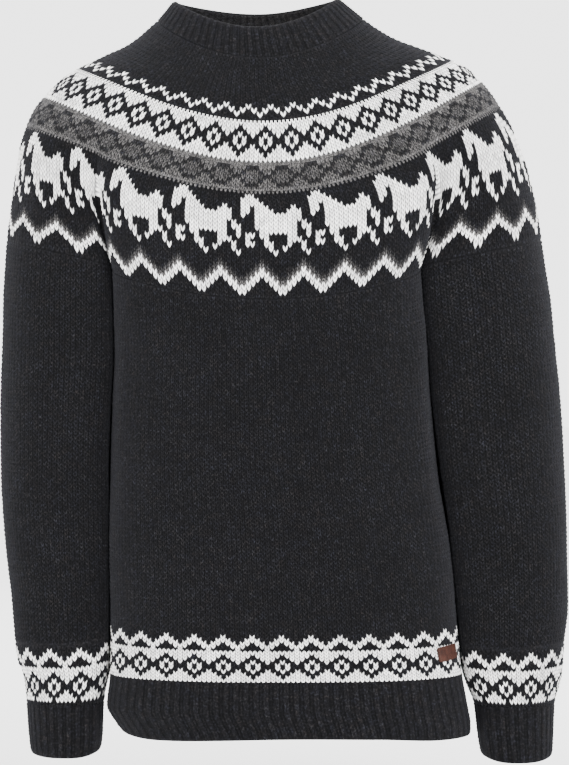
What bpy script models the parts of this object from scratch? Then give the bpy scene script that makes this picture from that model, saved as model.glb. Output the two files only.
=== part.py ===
"""Round-yoke wool sweater, hollow, filled out as when it is worn.

All tables are in millimetres: +Z up, and the front faces -Y. Left and right are as
seen from the front, so right is +X and the wearer's left arm.
The origin lies at the middle of the shoulder line, at the base of the neck.
Every piece is a wall: rings around the garment are worked out from the tables,
the wall's plain inside lies a cloth's thickness under them, and ribs stand up from the
outside alone.
"""

import math

import bmesh
import bpy
import numpy as np

MM = 0.001

# Cloth and seams
WALL = 3.0
COLLAR_WALL = 4.2
SEAM_GAP = 0.3
RIB_HEIGHT = 1.3

# Ribs around each edge
COLLAR_RIBS = 68
HEM_RIBS = 110
CUFF_RIBS = 30

# Share of each half ring at which the sleeve and the body meet in the armhole crease
SLEEVE_SHARE = 0.220
SLEEVE_SHARE_BACK = 0.227
# Share of the body's half ring that lies flat against the sleeve
FLAT_SHARE = 0.103
# Share of the sleeve's ring that is not flat against the body
SLEEVE_ROUND = 0.756
# Share of a sleeve's front that is its rounded inner corner
CORNER_SHARE = 0.34
# Place of the sleeve's deepest line between its inner and outer sides
DEEPEST = 0.42
# Roundness of the body's and the sleeves' corners, 2 is an ellipse
BODY_ROUNDNESS = 2.25
SLEEVE_ROUNDNESS = 2.1

# Leather label on the hem band
LABEL_MIDDLE = (0.824, -585.0)
LABEL_WIDTH, LABEL_HEIGHT, LABEL_THICK, LABEL_TILT = 28.0, 14.5, 1.4, 0.12

YOKE = (
    # Rings from the collar's base to the row where body and sleeves begin
    ("row", "x_left", "x_right", "y_front", "y_back",
     "z_front", "z_left", "z_right", "z_back", "power_front", "power_back", "crease"),
    (0.0, -109, 96, -78, 76, -3, 41, 43, 24, 1.5, 1.5, 0.0),
    (7.0, -137.5, 124, -91, 87, -28, 17, 25, -2, 1.5, 1.5, 0.0),
    (14.0, -171, 165, -101, 97, -51, 1, 9, -28, 1.6, 1.5, 0.0),
    (21.0, -199, 196, -109, 104, -79, -13, -5, -54, 1.6, 1.5, 0.0),
    (28.0, -218, 214, -115, 109, -107, -30, -20, -79, 1.6, 1.5, 0.05),
    (34.0, -233, 229, -119, 112, -132, -48, -39, -103, 1.6, 1.4, 0.25),
    (43.0, -247, 252.5, -122, 114, -165, -87, -85, -139, 1.6, 1.3, 0.60),
    (52.0, -254, 267, -124, 114, -202, -141, -141, -176, 1.6, 1.25, 0.88),
    (61.0, -259, 274, -125, 113, -240, -178, -178, -214, 1.6, 1.2, 1.0),
)

ARMHOLE = (
    # Where the crease runs on the yoke rings above, and the sleeve's depth there
    ("row", "x_left", "x_right", "y_front", "y_back", "sleeve_front", "sleeve_back"),
    (28.0, -186, 186, -84, 80, -74, 72),
    (34.0, -182, 181, -80, 76, -74, 72),
    (43.0, -172, 171, -68, 66, -74, 73),
    (52.0, -160, 160, -56, 56, -73, 73),
    (61.0, -152, 151, -50, 50, -72, 73),
)

BODY = (
    ("z", "x_left", "x_right", "y_front", "y_back", "flat_front", "flat_back"),
    (-170, -153, 152, -124, 113, 50, 50),
    (-204, -152, 151.5, -125, 113, 50, 50),
    (-240, -150.5, 153, -125, 113, 49, 49),
    (-290, -150, 158, -124, 112, 46, 46),
    (-338, -152.5, 162, -122, 110, 44, 44),
    (-408, -154.5, 169.5, -120, 108, 42, 42),
    (-470, -154.5, 179, -119, 107, 40, 40),
    (-538, -154, 185.5, -119, 107, 38, 38),
    (-580, -154.5, 189.5, -119, 107, 36, 36),
    (-608, -155, 192.5, -118, 106, 34, 34),
    (-640, -158.4, 198.5, -116, 105, 30, 30),
    (-650, -154, 200.5, -115, 105, 28, 28),
    (-658, -148.8, 201.7, -114, 104, 26, 26),
    (-670, -141.5, 202, -112, 102, 24, 24),
)

SLEEVE_LEFT = (
    ("z", "x_inner", "x_outer", "y_front", "y_back", "y_middle", "flat"),
    (-170, -153.3, -258, -72, 73, 0, 50),
    (-204, -152.3, -261, -72, 73, 0, 50),
    (-240, -151.8, -263.5, -71, 72, 0, 48),
    (-290, -151.5, -264.5, -69, 69, -1, 45),
    (-338, -154, -265.5, -67, 66, -2, 42),
    (-408, -156, -265.5, -65, 60, -4, 38),
    (-470, -156, -261.5, -64, 54, -7, 34),
    (-538, -155.6, -253.8, -61, 44, -11, 28),
    (-580, -156.2, -249.5, -58, 36, -13, 24),
    (-598, -156.8, -246.5, -57, 33, -14, 21),
    (-608, -157.2, -242, -56, 31, -14, 20),
    (-622, -160.3, -239.5, -55, 28, -14, 17),
    (-640, -162.8, -238.2, -53, 26, -14, 12),
    (-668, -163.5, -236.4, -52, 24, -14, 9),
    (-692, -166.5, -233.5, -50, 22, -14, 8),
)

SLEEVE_RIGHT = (
    ("z", "x_inner", "x_outer", "y_front", "y_back", "y_middle", "flat"),
    (-170, 152.3, 272, -73, 74, 0, 50),
    (-204, 151.8, 278, -73, 74, 0, 50),
    (-240, 154.2, 284.4, -72, 73, 0, 48),
    (-290, 159.6, 288.4, -70, 70, -1, 45),
    (-338, 163.6, 292.6, -68, 67, -2, 42),
    (-408, 171.2, 296.5, -66, 61, -4, 38),
    (-470, 180.8, 299, -65, 55, -7, 34),
    (-538, 187.4, 299.3, -62, 46, -11, 28),
    (-580, 191.4, 295, -59, 38, -13, 24),
    (-608, 195.5, 293.5, -57, 33, -14, 20),
    (-622, 200, 290.5, -56, 30, -14, 17),
    (-640, 206.4, 286, -55, 28, -14, 12),
    (-668, 210, 285, -54, 26, -14, 9),
    (-698, 215.5, 283.5, -52, 24, -14, 8),
)

COLLAR = (
    # From the neck seam to the rim, each row leans in over the last
    ("share", "x_left", "x_right", "y_front", "y_back",
     "z_front", "z_left", "z_right", "z_back", "power_front", "power_back"),
    (0.0, -109, 96, -78, 76, -3, 41, 43, 24, 1.5, 1.5),
    (0.5, -100.3, 82.8, -71.5, 70.5, 13, 51, 53.5, 40, 1.5, 1.9),
    (0.86, -94.2, 73.4, -65, 65, 26, 58.5, 61, 51, 1.5, 2.6),
    (1.0, -90.5, 69, -61.5, 62, 29.5, 60.7, 63.7, 54.8, 1.5, 2.8),
)

FOLDS = (
    # Soft troughs down the cloth: where each starts and ends, in u and z of its piece
    ("piece", "u_start", "z_start", "u_end", "z_end", "width", "depth"),
    ("body_front", 0.15, -236, 0.24, -352, 15, 2.6),
    ("body_front", 0.12, -262, 0.15, -470, 13, 2.2),
    ("body_front", 0.84, -232, 0.74, -330, 16, 2.4),
    ("body_front", 0.88, -268, 0.86, -500, 13, 2.4),
    ("body_back", 0.16, -236, 0.27, -362, 16, 2.6),
    ("body_back", 0.86, -240, 0.76, -345, 15, 2.4),
    ("body_back", 0.44, -300, 0.52, -560, 22, 2.0),
    ("sleeve_left", 0.10, -240, 0.17, -420, 12, 3.2),
    ("sleeve_left", 0.63, -330, 0.45, -392, 11, 2.6),
    ("sleeve_left", 0.66, -420, 0.50, -446, 11, 2.4),
    ("sleeve_right", 0.10, -250, 0.15, -440, 12, 3.2),
    ("sleeve_right", 0.62, -322, 0.46, -378, 11, 2.6),
    ("sleeve_right", 0.65, -412, 0.48, -452, 11, 2.4),
)

# Where the ribbed hem and cuffs begin and end
HEM_TOP_MIDDLE, HEM_TOP_SIDE = -610.0, -605.0
HEM_EDGE = (
    ("u", "z"),
    (0.0, -661.5), (0.10, -663.0), (0.15, -667.3), (0.22, -669.8), (0.36, -668.0),
    (0.5, -666.2), (0.65, -667.0), (0.77, -670.0), (0.88, -668.5), (1.0, -667.0),
)
CUFFS = (
    ("side", "z_top", "z_end", "lift_inner", "lift_outer"),
    ("left", -638.5, -691.0, 6.0, 3.0),
    ("right", -640.0, -695.5, 6.0, 5.0),
)


def column(table, name):
    """One named column of a table, without its heading."""
    at = table[0].index(name)
    return np.array([row[at] for row in table[1:]], float)


def smooth(knots, values, at):
    """Cubic through the rows of a table that never swings past its neighbours."""
    knots = np.asarray(knots, float)
    values = np.asarray(values, float)
    if knots[0] > knots[-1]:
        knots, values = knots[::-1], values[::-1]
    step = np.diff(knots)
    shape = (-1,) + (1,) * (values.ndim - 1)
    slope = np.diff(values, axis=0) / step.reshape(shape)
    middle = np.zeros_like(slope[1:])
    same = slope[1:] * slope[:-1] > 0
    middle[same] = (2 * slope[1:] * slope[:-1] / np.where(same, slope[1:] + slope[:-1], 1))[same]
    tangent = np.concatenate([slope[:1], middle, slope[-1:]])
    at = np.clip(np.asarray(at, float), knots[0], knots[-1])
    i = np.clip(np.searchsorted(knots, at, side="right") - 1, 0, len(step) - 1)
    h = step[i]
    s = (at - knots[i]) / h
    more = (Ellipsis,) + (None,) * (values.ndim - 1)
    s, h = s[more], h[more]
    return (
        values[i] * (1 + 2 * s) * (1 - s) ** 2
        + tangent[i] * h * s * (1 - s) ** 2
        + values[i + 1] * s * s * (3 - 2 * s)
        - tangent[i + 1] * h * s * s * (1 - s)
    )


def look_up(table, name, z):
    return smooth(column(table, table[0][0]), column(table, name), z)


def quarter(f, wide, deep, roundness):
    """A quarter of a superellipse at even steps of length.

    f = 0 is its end on the wide axis, as (1, 0), and f = 1 its end on the deep axis.
    """
    t = np.linspace(0, math.pi / 2, 181)
    x = np.cos(t) ** (2 / roundness)
    y = np.sin(t) ** (2 / roundness)
    along = np.concatenate([[0], np.cumsum(np.hypot(np.diff(x) * wide, np.diff(y) * deep))])
    angle = np.interp(f, along / along[-1], t)
    return np.cos(angle) ** (2 / roundness), np.sin(angle) ** (2 / roundness)


def body_point(u, z, back=False):
    """The body's outside. u runs from the left side seam, 0, to the right one, 1."""
    u, z = np.broadcast_arrays(np.asarray(u, float), np.asarray(z, float))
    left = u < 0.5
    edge = np.where(left, look_up(BODY, "x_left", z), look_up(BODY, "x_right", z))
    middle = (look_up(BODY, "x_left", z) + look_up(BODY, "x_right", z)) / 2
    way = 1 if back else -1
    deep = np.abs(look_up(BODY, "y_back" if back else "y_front", z))
    flat = look_up(BODY, "flat_back" if back else "flat_front", z)
    v = np.where(left, u, 1 - u)
    on_flat = v < FLAT_SHARE
    f = np.clip((v - FLAT_SHARE) / (0.5 - FLAT_SHARE), 0, 1)
    across, out = quarter(f, 163, 75, BODY_ROUNDNESS)
    x = np.where(on_flat, edge, middle + (edge - middle) * across)
    y = np.where(on_flat, flat * v / FLAT_SHARE, flat + (deep - flat) * out)
    return np.stack([x, way * y, z], -1)


def sleeve_point(table, a, z):
    """A sleeve's outside. a runs from the front crease, 0, round the outer side to the
    back crease, SLEEVE_ROUND, and back along the flat inner side to 1."""
    a, z = np.broadcast_arrays(np.asarray(a, float), np.asarray(z, float))
    inner, outer = look_up(table, "x_inner", z), look_up(table, "x_outer", z)
    flat, middle = look_up(table, "flat", z), look_up(table, "y_middle", z)
    deepest = inner + DEEPEST * (outer - inner)
    half = SLEEVE_ROUND / 2
    front = a < half
    deep = np.where(front, look_up(table, "y_front", z), look_up(table, "y_back", z))
    corner_y = middle + np.where(front, -flat, flat)
    g = np.clip(np.where(front, a / half, (SLEEVE_ROUND - a) / half), 0, 1)
    in_x, in_y = quarter(np.clip(g / CORNER_SHARE, 0, 1), 42, 24, SLEEVE_ROUNDNESS)
    out_x, out_y = quarter(
        np.clip((1 - g) / (1 - CORNER_SHARE), 0, 1), 60, 72, SLEEVE_ROUNDNESS
    )
    corner = g < CORNER_SHARE
    x = deepest + np.where(corner, (inner - deepest) * in_x, (outer - deepest) * out_x)
    y = np.where(
        corner, corner_y + (deep - corner_y) * in_y, middle + (deep - middle) * out_y
    )
    on_flat = a > SLEEVE_ROUND
    share = np.clip((a - SLEEVE_ROUND) / (1 - SLEEVE_ROUND), 0, 1)
    x = np.where(on_flat, inner, x)
    y = np.where(on_flat, middle + flat * (1 - 2 * share), y)
    return np.stack([x, y, z], -1)


def ring_shape(u, table, i):
    """Height on ring i of a table, and the share of the way from its side to its middle."""
    row = dict(zip(table[0], table[i + 1]))
    back = u >= 0.5
    turn = np.abs(np.where(back, u - 0.75, u - 0.25)) / 0.25
    cosine = np.cos(np.clip(turn, 0, 1) * math.pi / 2)
    power = np.where(back, row.get("power_back", 1.3), row.get("power_front", 1.5))
    share = cosine**power
    side = np.where((u < 0.25) | (u > 0.75), row["z_left"], row["z_right"])
    middle = np.where(back, row["z_back"], row["z_front"])
    return side + (middle - side) * share


def oval(u, row):
    """An even oval with the row's widths and depths."""
    middle = (row["x_left"] + row["x_right"]) / 2
    wide = (row["x_right"] - row["x_left"]) / 2
    back = u >= 0.5
    h = np.where(back, u - 0.5, u) * 2
    f = np.where(h < 0.5, h, 1 - h) * 2
    across, out = quarter(f, wide, abs(row["y_front"]), 2.05)
    left = (u < 0.25) | (u > 0.75)
    x = middle + np.where(left, -wide, wide) * across
    y = np.where(back, row["y_back"], row["y_front"]) * out
    return x, y


def yoke_places(u):
    """For each u on a yoke ring: which piece it meets and where on that piece."""
    back = u >= 0.5
    h = np.where(back, 1 - u, u) * 2
    share = np.where(back, SLEEVE_SHARE_BACK, SLEEVE_SHARE)
    on_left = h < share
    on_right = h > 1 - share
    g = np.where(on_left, 1 - h / share, 1 - (1 - h) / share)
    body_u = FLAT_SHARE + (h - share) / (1 - 2 * share) * (1 - 2 * FLAT_SHARE)
    # g is 0 at the crease and 1 at the outer side
    a = SLEEVE_ROUND / 2 * np.where(back, 2 - g, g)
    return back, on_left, on_right, a, np.clip(body_u, FLAT_SHARE, 1 - FLAT_SHARE)


def creased_ring(u, i):
    """Ring i of the yoke with its armhole creases at full depth."""
    z = ring_shape(u, YOKE, i)
    row = YOKE[i + 1][0]
    back, on_left, on_right, a, body_u = yoke_places(u)
    front = body_point(body_u, z, False)
    rear = body_point(body_u, z, True)
    torso = np.where(back[..., None], rear, front)
    left = sleeve_point(SLEEVE_LEFT, a, z)
    right = sleeve_point(SLEEVE_RIGHT, a, z)
    if i == len(YOKE) - 2:
        points = np.where(on_left[..., None], left, torso)
        return np.where(on_right[..., None], right, points)
    here = dict(zip(YOKE[0], YOKE[i + 1]))
    line = {name: float(look_up(ARMHOLE, name, row)) for name in ARMHOLE[0][1:]}
    x = torso[..., 0].copy()
    y = torso[..., 1].copy()
    deep = np.where(back, here["y_back"], here["y_front"])
    crease_y = np.where(back, line["y_back"], line["y_front"])
    v = np.where(body_u < 0.5, body_u, 1 - body_u)
    f = np.clip((v - FLAT_SHARE) / (0.5 - FLAT_SHARE), 0, 1)
    across, out = quarter(f, 163, 75, BODY_ROUNDNESS)
    middle = (line["x_left"] + line["x_right"]) / 2
    edge = np.where(body_u < 0.5, line["x_left"], line["x_right"])
    x = middle + (edge - middle) * across
    y = crease_y + (deep - crease_y) * out
    for side, here_on, x_out in (("x_left", on_left, "x_left"), ("x_right", on_right, "x_right")):
        inner, outer = line[side], here[x_out]
        deepest = inner + DEEPEST * (outer - inner)
        half = SLEEVE_ROUND / 2
        g = np.clip(np.where(back, (SLEEVE_ROUND - a) / half, a / half), 0, 1)
        sleeve_deep = np.where(back, line["sleeve_back"], line["sleeve_front"])
        in_x, in_y = quarter(np.clip(g / CORNER_SHARE, 0, 1), 42, 24, SLEEVE_ROUNDNESS)
        out_x, out_y = quarter(
            np.clip((1 - g) / (1 - CORNER_SHARE), 0, 1), 60, 72, SLEEVE_ROUNDNESS
        )
        corner = g < CORNER_SHARE
        sx = deepest + np.where(corner, (inner - deepest) * in_x, (outer - deepest) * out_x)
        sy = np.where(corner, crease_y + (sleeve_deep - crease_y) * in_y, sleeve_deep * out_y)
        x = np.where(here_on, sx, x)
        y = np.where(here_on, sy, y)
    return np.stack([x, y, z], -1)


def yoke_ring(u, i):
    row = dict(zip(YOKE[0], YOKE[i + 1]))
    if row["crease"] >= 1:
        return creased_ring(u, i)
    x, y = oval(u, row)
    plain = np.stack([x, y, ring_shape(u, YOKE, i)], -1)
    if row["crease"] == 0:
        return plain
    return plain + row["crease"] * (creased_ring(u, i) - plain)


def yoke_point(u, rows):
    """The yoke's outside, as rows x columns. u = 0 is the left shoulder line, 0.25 the
    front middle, 0.5 the right shoulder line and 0.75 the back middle."""
    rings = np.stack([yoke_ring(np.asarray(u, float), i) for i in range(len(YOKE) - 1)])
    return smooth(column(YOKE, "row"), rings, rows)


def collar_point(u, shares):
    rings = []
    for i in range(len(COLLAR) - 1):
        row = dict(zip(COLLAR[0], COLLAR[i + 1]))
        x, y = oval(u, row)
        rings.append(np.stack([x, y, ring_shape(u, COLLAR, i)], -1))
    return smooth(column(COLLAR, "share"), np.stack(rings), shares)


def normals(points, closed, level=(), at_sides=True):
    """Outward directions on a grid whose rows run down and columns run to the right.

    Rows named in level get level directions, so that the walls on both sides of a seam
    end in the same way. An open grid that ends at the sides ends square to the front.
    """
    if closed:
        across = np.roll(points, -1, 1) - np.roll(points, 1, 1)
    else:
        across = np.gradient(points, axis=1)
    down = np.gradient(points, axis=0)
    for r in level:
        down[r] = (0, 0, -1)
    n = np.cross(down, across)
    if at_sides and not closed:
        n[:, [0, -1], 1] = 0
    return n / np.linalg.norm(n, axis=-1, keepdims=True)


def fold_depth(piece, u, z):
    """How far the soft troughs of a piece sink the cloth at each point."""
    depth = np.zeros(np.broadcast(u, z).shape)
    around = 490.0 if piece.startswith("body") else 380.0
    for name, u0, z0, u1, z1, width, deep in FOLDS[1:]:
        if name != piece:
            continue
        ax, ay, bx, by = u0 * around, z0, u1 * around, z1
        length = math.hypot(bx - ax, by - ay)
        tx, ty = (bx - ax) / length, (by - ay) / length
        px, py = u * around - ax, z - ay
        along = (px * tx + py * ty) / length
        off = px * ty - py * tx
        fade = np.clip(np.sin(math.pi * np.clip(along, 0, 1)), 0, 1) ** 0.7
        depth = depth + deep * fade * np.exp(-((off / width) ** 2))
    return depth


def loft(name, outer, inner, closed, colour, rough=0.95):
    """A closed wall between an outer and an inner grid of points, in millimetres."""
    rows, columns = outer.shape[:2]
    bm = bmesh.new()
    skins = [[[bm.verts.new(p * MM) for p in line] for line in skin] for skin in (outer, inner)]
    around = range(columns if closed else columns - 1)
    for r in range(rows - 1):
        for c in around:
            d = (c + 1) % columns
            for skin, order in ((skins[0], 1), (skins[1], -1)):
                loop = [skin[r][c], skin[r + 1][c], skin[r + 1][d], skin[r][d]]
                bm.faces.new(loop[::order])
    out, into = skins
    for c in around:
        d = (c + 1) % columns
        bm.faces.new([out[0][d], into[0][d], into[0][c], out[0][c]])
        bm.faces.new([out[-1][c], into[-1][c], into[-1][d], out[-1][d]])
    if not closed:
        for r in range(rows - 1):
            bm.faces.new([out[r][0], into[r][0], into[r + 1][0], out[r + 1][0]])
            bm.faces.new([out[r + 1][-1], into[r + 1][-1], into[r][-1], out[r][-1]])
    mesh = bpy.data.meshes.new(name)
    bm.to_mesh(mesh)
    bm.free()
    mesh.shade_smooth()
    mesh.set_sharp_from_angle(angle=math.radians(60))
    obj = bpy.data.objects.new(name, mesh)
    sweater.objects.link(obj)
    mesh.materials.append(material(name, colour, rough))
    return obj


def material(name, colour, rough):
    made = bpy.data.materials.new(name)
    made.use_nodes = True
    shader = made.node_tree.nodes["Principled BSDF"]
    shader.inputs["Base Color"].default_value = (*colour, 1)
    shader.inputs["Roughness"].default_value = rough
    shader.inputs["Metallic"].default_value = 0.0
    return made


def spans(*pieces):
    """Column places: pieces are (start, end, steps), joined end to end."""
    places = [pieces[0][0]]
    for start, end, steps in pieces:
        places.extend(np.linspace(start, end, steps + 1)[1:])
    return np.array(places)


def crease_z(back):
    """Height of the point where yoke, body and sleeve meet."""
    at = np.array(1 - SLEEVE_SHARE_BACK / 2 if back else SLEEVE_SHARE / 2)
    return float(ring_shape(at, YOKE, len(YOKE) - 2))


def top_of_body(u, back):
    """Height of the seam between yoke and body, level under the arm."""
    share = SLEEVE_SHARE_BACK if back else SLEEVE_SHARE
    h = share + (u - FLAT_SHARE) / (1 - 2 * FLAT_SHARE) * (1 - 2 * share)
    h = np.clip(h, share, 1 - share) / 2
    z = ring_shape(1 - h if back else h, YOKE, len(YOKE) - 2)
    under_arm = (crease_z(False) + crease_z(True)) / 2
    toward = np.clip(np.minimum(u, 1 - u) / FLAT_SHARE, 0, 1)
    return np.where(toward < 1, under_arm + (crease_z(back) - under_arm) * toward, z)


def hem_top(u):
    return HEM_TOP_MIDDLE + (HEM_TOP_SIDE - HEM_TOP_MIDDLE) * np.abs(2 * u - 1) ** 3


CHARCOAL = (0.022, 0.022, 0.026)
CHARCOAL_RIB = (0.024, 0.024, 0.029)
YOKE_GREY = (0.10, 0.10, 0.10)
LEATHER = (0.19, 0.07, 0.03)

for old in list(bpy.data.objects):
    bpy.data.objects.remove(old, do_unlink=True)

sweater = bpy.data.collections.new("wool_sweater")
bpy.context.scene.collection.children.link(sweater)

# Columns shared by the pieces that meet at a seam, so that their edges run together
CREASE_TO_SHOULDER = spans((0, CORNER_SHARE, 5), (CORNER_SHARE, 1, 5))
ACROSS_BODY = spans((0, 0.07, 3), (0.07, 0.93, 15), (0.93, 1, 3))

# Collar: a ribbed ring that leans in to its rim
collar_u = np.arange(2 * COLLAR_RIBS) / (2 * COLLAR_RIBS)
collar_shares = np.array([1.0, 0.86, 0.5, 0.006])
collar_out = collar_point(collar_u, collar_shares)
collar_n = normals(collar_out, True)
collar_n[-1] = normals(yoke_point(collar_u, np.array([0.0, 1.0])), True)[0]
collar_in = collar_out - collar_n * COLLAR_WALL
collar_rise = RIB_HEIGHT * np.array([0.25, 1.0, 1.0, 0.6])[:, None]
collar_rise = collar_rise * (np.arange(2 * COLLAR_RIBS) % 2 == 0)
loft("collar", collar_out + collar_n * collar_rise[..., None], collar_in, True, CHARCOAL_RIB)

# Yoke: a front and a back half that meet on the shoulder lines
yoke_rows = np.array([0.06, 5, 10, 14, 19, 24, 29, 34, 40, 46, 52, 57, 60.96])
for name, start, share in (
    ("yoke_front", 0.0, SLEEVE_SHARE / 2),
    ("yoke_back", 0.5, SLEEVE_SHARE_BACK / 2),
):
    on_sleeve = share * (1 - CREASE_TO_SHOULDER[::-1])
    on_sleeve[0] = 0.00011
    on_body = share + (0.5 - 2 * share) * ACROSS_BODY[1:-1]
    yoke_u = start + np.concatenate([on_sleeve, on_body, 0.5 - on_sleeve[::-1]])
    outer = yoke_point(yoke_u, yoke_rows)
    n = normals(outer, False, level=[-1])
    n[0] = normals(yoke_point(yoke_u, np.array([0.0, 1.0])), False)[0]
    loft(name, outer, outer - n * WALL, False, YOKE_GREY)

# Body: front and back panels that meet at the sides, flat there against the sleeves
flat_u = np.linspace(0.0004, FLAT_SHARE, 4)
body_u = np.concatenate([
    flat_u, FLAT_SHARE + (1 - 2 * FLAT_SHARE) * ACROSS_BODY[1:-1], 1 - flat_u[::-1]
])
body_v = np.array([0.0, 0.08, 0.17, 0.28, 0.4, 0.52, 0.64, 0.76, 0.88, 1.0])
hem_v = np.array([0.0, 0.45, 1.0])
hem_front_u = np.linspace(0.0004, 0.9996, HEM_RIBS + 1)
for name, back in (("front", False), ("back", True)):
    u = body_u[::-1] if back else body_u
    top = top_of_body(u, back) - 1.5 * SEAM_GAP
    low = hem_top(u) + SEAM_GAP / 2
    z = top + (low - top) * body_v[:, None]
    outer = body_point(np.broadcast_to(u, z.shape), z, back)
    n = normals(outer, False, level=[0, -1])
    outer = outer - n * fold_depth("body_" + name, u[None, :], z)[..., None]
    loft("body_" + name, outer, outer - n * WALL, False, CHARCOAL)

    u = hem_front_u[::-1] if back else hem_front_u
    top = hem_top(u) - SEAM_GAP / 2
    z = top + (look_up(HEM_EDGE, "z", u) - top) * hem_v[:, None]
    plain = body_point(np.broadcast_to(u, z.shape), z, back)
    n = normals(plain, False, level=[0])
    ridge = (np.arange(HEM_RIBS + 1) % 2 == 1).astype(float)
    rise = RIB_HEIGHT * ridge[None, :] * np.array([0.5, 1.0, 0.8])[:, None]
    loft("hem_" + name, plain + n * rise[..., None], plain - n * (WALL - 0.4), False,
         CHARCOAL_RIB)

# Sleeves and cuffs: tubes whose inner side lies along the body
for side, table, way in (("left", SLEEVE_LEFT, -1), ("right", SLEEVE_RIGHT, 1)):
    half = SLEEVE_ROUND / 2
    sleeve_a = np.concatenate([
        half * CREASE_TO_SHOULDER[:-1],
        SLEEVE_ROUND - half * CREASE_TO_SHOULDER[::-1],
        spans((SLEEVE_ROUND, 1.0, 5))[1:-1],
    ])[::way]
    share = np.where(sleeve_a < half, SLEEVE_SHARE, SLEEVE_SHARE_BACK)
    # Distance from the shoulder line on the yoke's ring, 0 on it and share at the crease
    h = share * np.clip(np.abs(sleeve_a - half) / half, 0, 1)
    if side == "left":
        ring_u = np.where(sleeve_a < half, h / 2, 1 - h / 2)
    else:
        ring_u = np.where(sleeve_a < half, 0.5 - h / 2, 0.5 + h / 2)
    top = ring_shape(np.mod(ring_u, 1.0), YOKE, len(YOKE) - 2)
    inside = np.clip((sleeve_a - SLEEVE_ROUND) / (1 - SLEEVE_ROUND), 0, 1)
    graft = crease_z(True) + (crease_z(False) - crease_z(True)) * inside
    top = np.where(sleeve_a > SLEEVE_ROUND, graft, top) - 1.5 * SEAM_GAP
    low, end, lift_in, lift_out = next(row[1:] for row in CUFFS if row[0] == side)
    sleeve_v = np.array([0, 0.05, 0.11, 0.19, 0.29, 0.4, 0.51, 0.62, 0.73, 0.84, 0.93, 1.0])
    z = top + (low + SEAM_GAP / 2 - top) * sleeve_v[:, None]
    outer = sleeve_point(table, np.broadcast_to(sleeve_a, z.shape), z)
    n = normals(outer, True, level=[0, -1])
    outer = outer - n * fold_depth("sleeve_" + side, sleeve_a[None, :], z)[..., None]
    loft("sleeve_" + side, outer, outer - n * WALL, True, CHARCOAL)

    cuff_a = (np.arange(2 * CUFF_RIBS) / (2 * CUFF_RIBS))[::way]
    # The edge lies lowest in the middle and lifts towards the inner and outer sides
    edge_x = sleeve_point(table, cuff_a, end)[:, 0] * way
    across = 2 * (edge_x - edge_x.min()) / np.ptp(edge_x) - 1
    edge = end + lift_out * np.clip(across, 0, 1) ** 3 + lift_in * np.clip(-across, 0, 1) ** 3
    z = (low - SEAM_GAP / 2) + (edge - low) * np.array([0, 0.5, 1])[:, None]
    plain = sleeve_point(table, np.broadcast_to(cuff_a, z.shape), z)
    n = normals(plain, True, level=[0])
    ridge = (np.arange(2 * CUFF_RIBS) % 2 == 0).astype(float)
    rise = RIB_HEIGHT * ridge[None, :] * np.array([0.5, 1.0, 0.8])[:, None]
    loft("cuff_" + side, plain + n * rise[..., None], plain - n * (WALL - 0.4), True,
         CHARCOAL_RIB)

# Label: a small leather tab sewn flat on the hem band
label_s = np.linspace(-0.5, 0.5, 6)
label_t = np.linspace(0.5, -0.5, 4)
s, t = np.meshgrid(label_s * LABEL_WIDTH, label_t * LABEL_HEIGHT)
across = s * math.cos(LABEL_TILT) - t * math.sin(LABEL_TILT)
up = s * math.sin(LABEL_TILT) + t * math.cos(LABEL_TILT)
label_grid = body_point(LABEL_MIDDLE[0] + across / 486.0, LABEL_MIDDLE[1] + up, False)
label_n = normals(label_grid, False, at_sides=False)
loft("label", label_grid + label_n * (SEAM_GAP + 0.1 + LABEL_THICK),
     label_grid + label_n * (SEAM_GAP + 0.1), False, LEATHER, 0.55)
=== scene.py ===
"""Round-yoke wool sweater: its knitting, laid stitch by stitch on the frame's solids.

All tables are in millimetres: +Z up, and the front faces -Y. Left and right are as
seen from the front. Every knitted piece is one thin wall. Its outside is a net of
V-shaped stitches, whose rows and columns follow the garment, and its inside is plain.
A chart for each pattern band says which yarn every stitch is knitted in.
"""

import math

import bmesh
import bpy
import numpy as np
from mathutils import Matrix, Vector


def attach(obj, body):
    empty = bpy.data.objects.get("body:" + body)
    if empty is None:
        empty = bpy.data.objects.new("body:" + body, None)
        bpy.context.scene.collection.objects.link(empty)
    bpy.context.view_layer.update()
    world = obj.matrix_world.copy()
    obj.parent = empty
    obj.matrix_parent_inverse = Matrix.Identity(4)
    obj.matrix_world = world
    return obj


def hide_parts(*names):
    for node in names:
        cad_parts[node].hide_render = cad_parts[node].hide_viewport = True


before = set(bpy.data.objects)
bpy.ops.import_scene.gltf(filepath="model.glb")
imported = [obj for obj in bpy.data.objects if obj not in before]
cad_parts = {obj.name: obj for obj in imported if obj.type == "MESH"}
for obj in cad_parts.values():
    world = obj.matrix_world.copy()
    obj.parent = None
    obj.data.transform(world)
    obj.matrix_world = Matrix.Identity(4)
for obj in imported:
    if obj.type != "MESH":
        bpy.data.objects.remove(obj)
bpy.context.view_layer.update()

MM = 0.001

# Cloth and seams
WALL, COLLAR_WALL = 3.0, 4.2
SEAM_GAP = 0.3
# How deep a piece's inside lies under its solid's face, below stitches, ribs and collar
KNIT_DEPTH, RIB_DEPTH, COLLAR_DEPTH = WALL - 0.3, WALL - 0.4, COLLAR_WALL - 0.6

# Ribs all round each edge
COLLAR_RIBS, HEM_RIBS, CUFF_RIBS = 68, 110, 29

# Share of each half ring at which the sleeve and the body meet in the armhole crease
SLEEVE_SHARE, SLEEVE_SHARE_BACK = 0.220, 0.227
# Share of the body's half ring that lies flat against the sleeve
FLAT_SHARE = 0.103
# Share of the sleeve's ring that is not flat against the body
SLEEVE_ROUND = 0.756
# Share of a sleeve's front that is its rounded inner corner
CORNER_SHARE = 0.34
# Place of the sleeve's deepest line between its inner and outer sides
DEEPEST = 0.42
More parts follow.
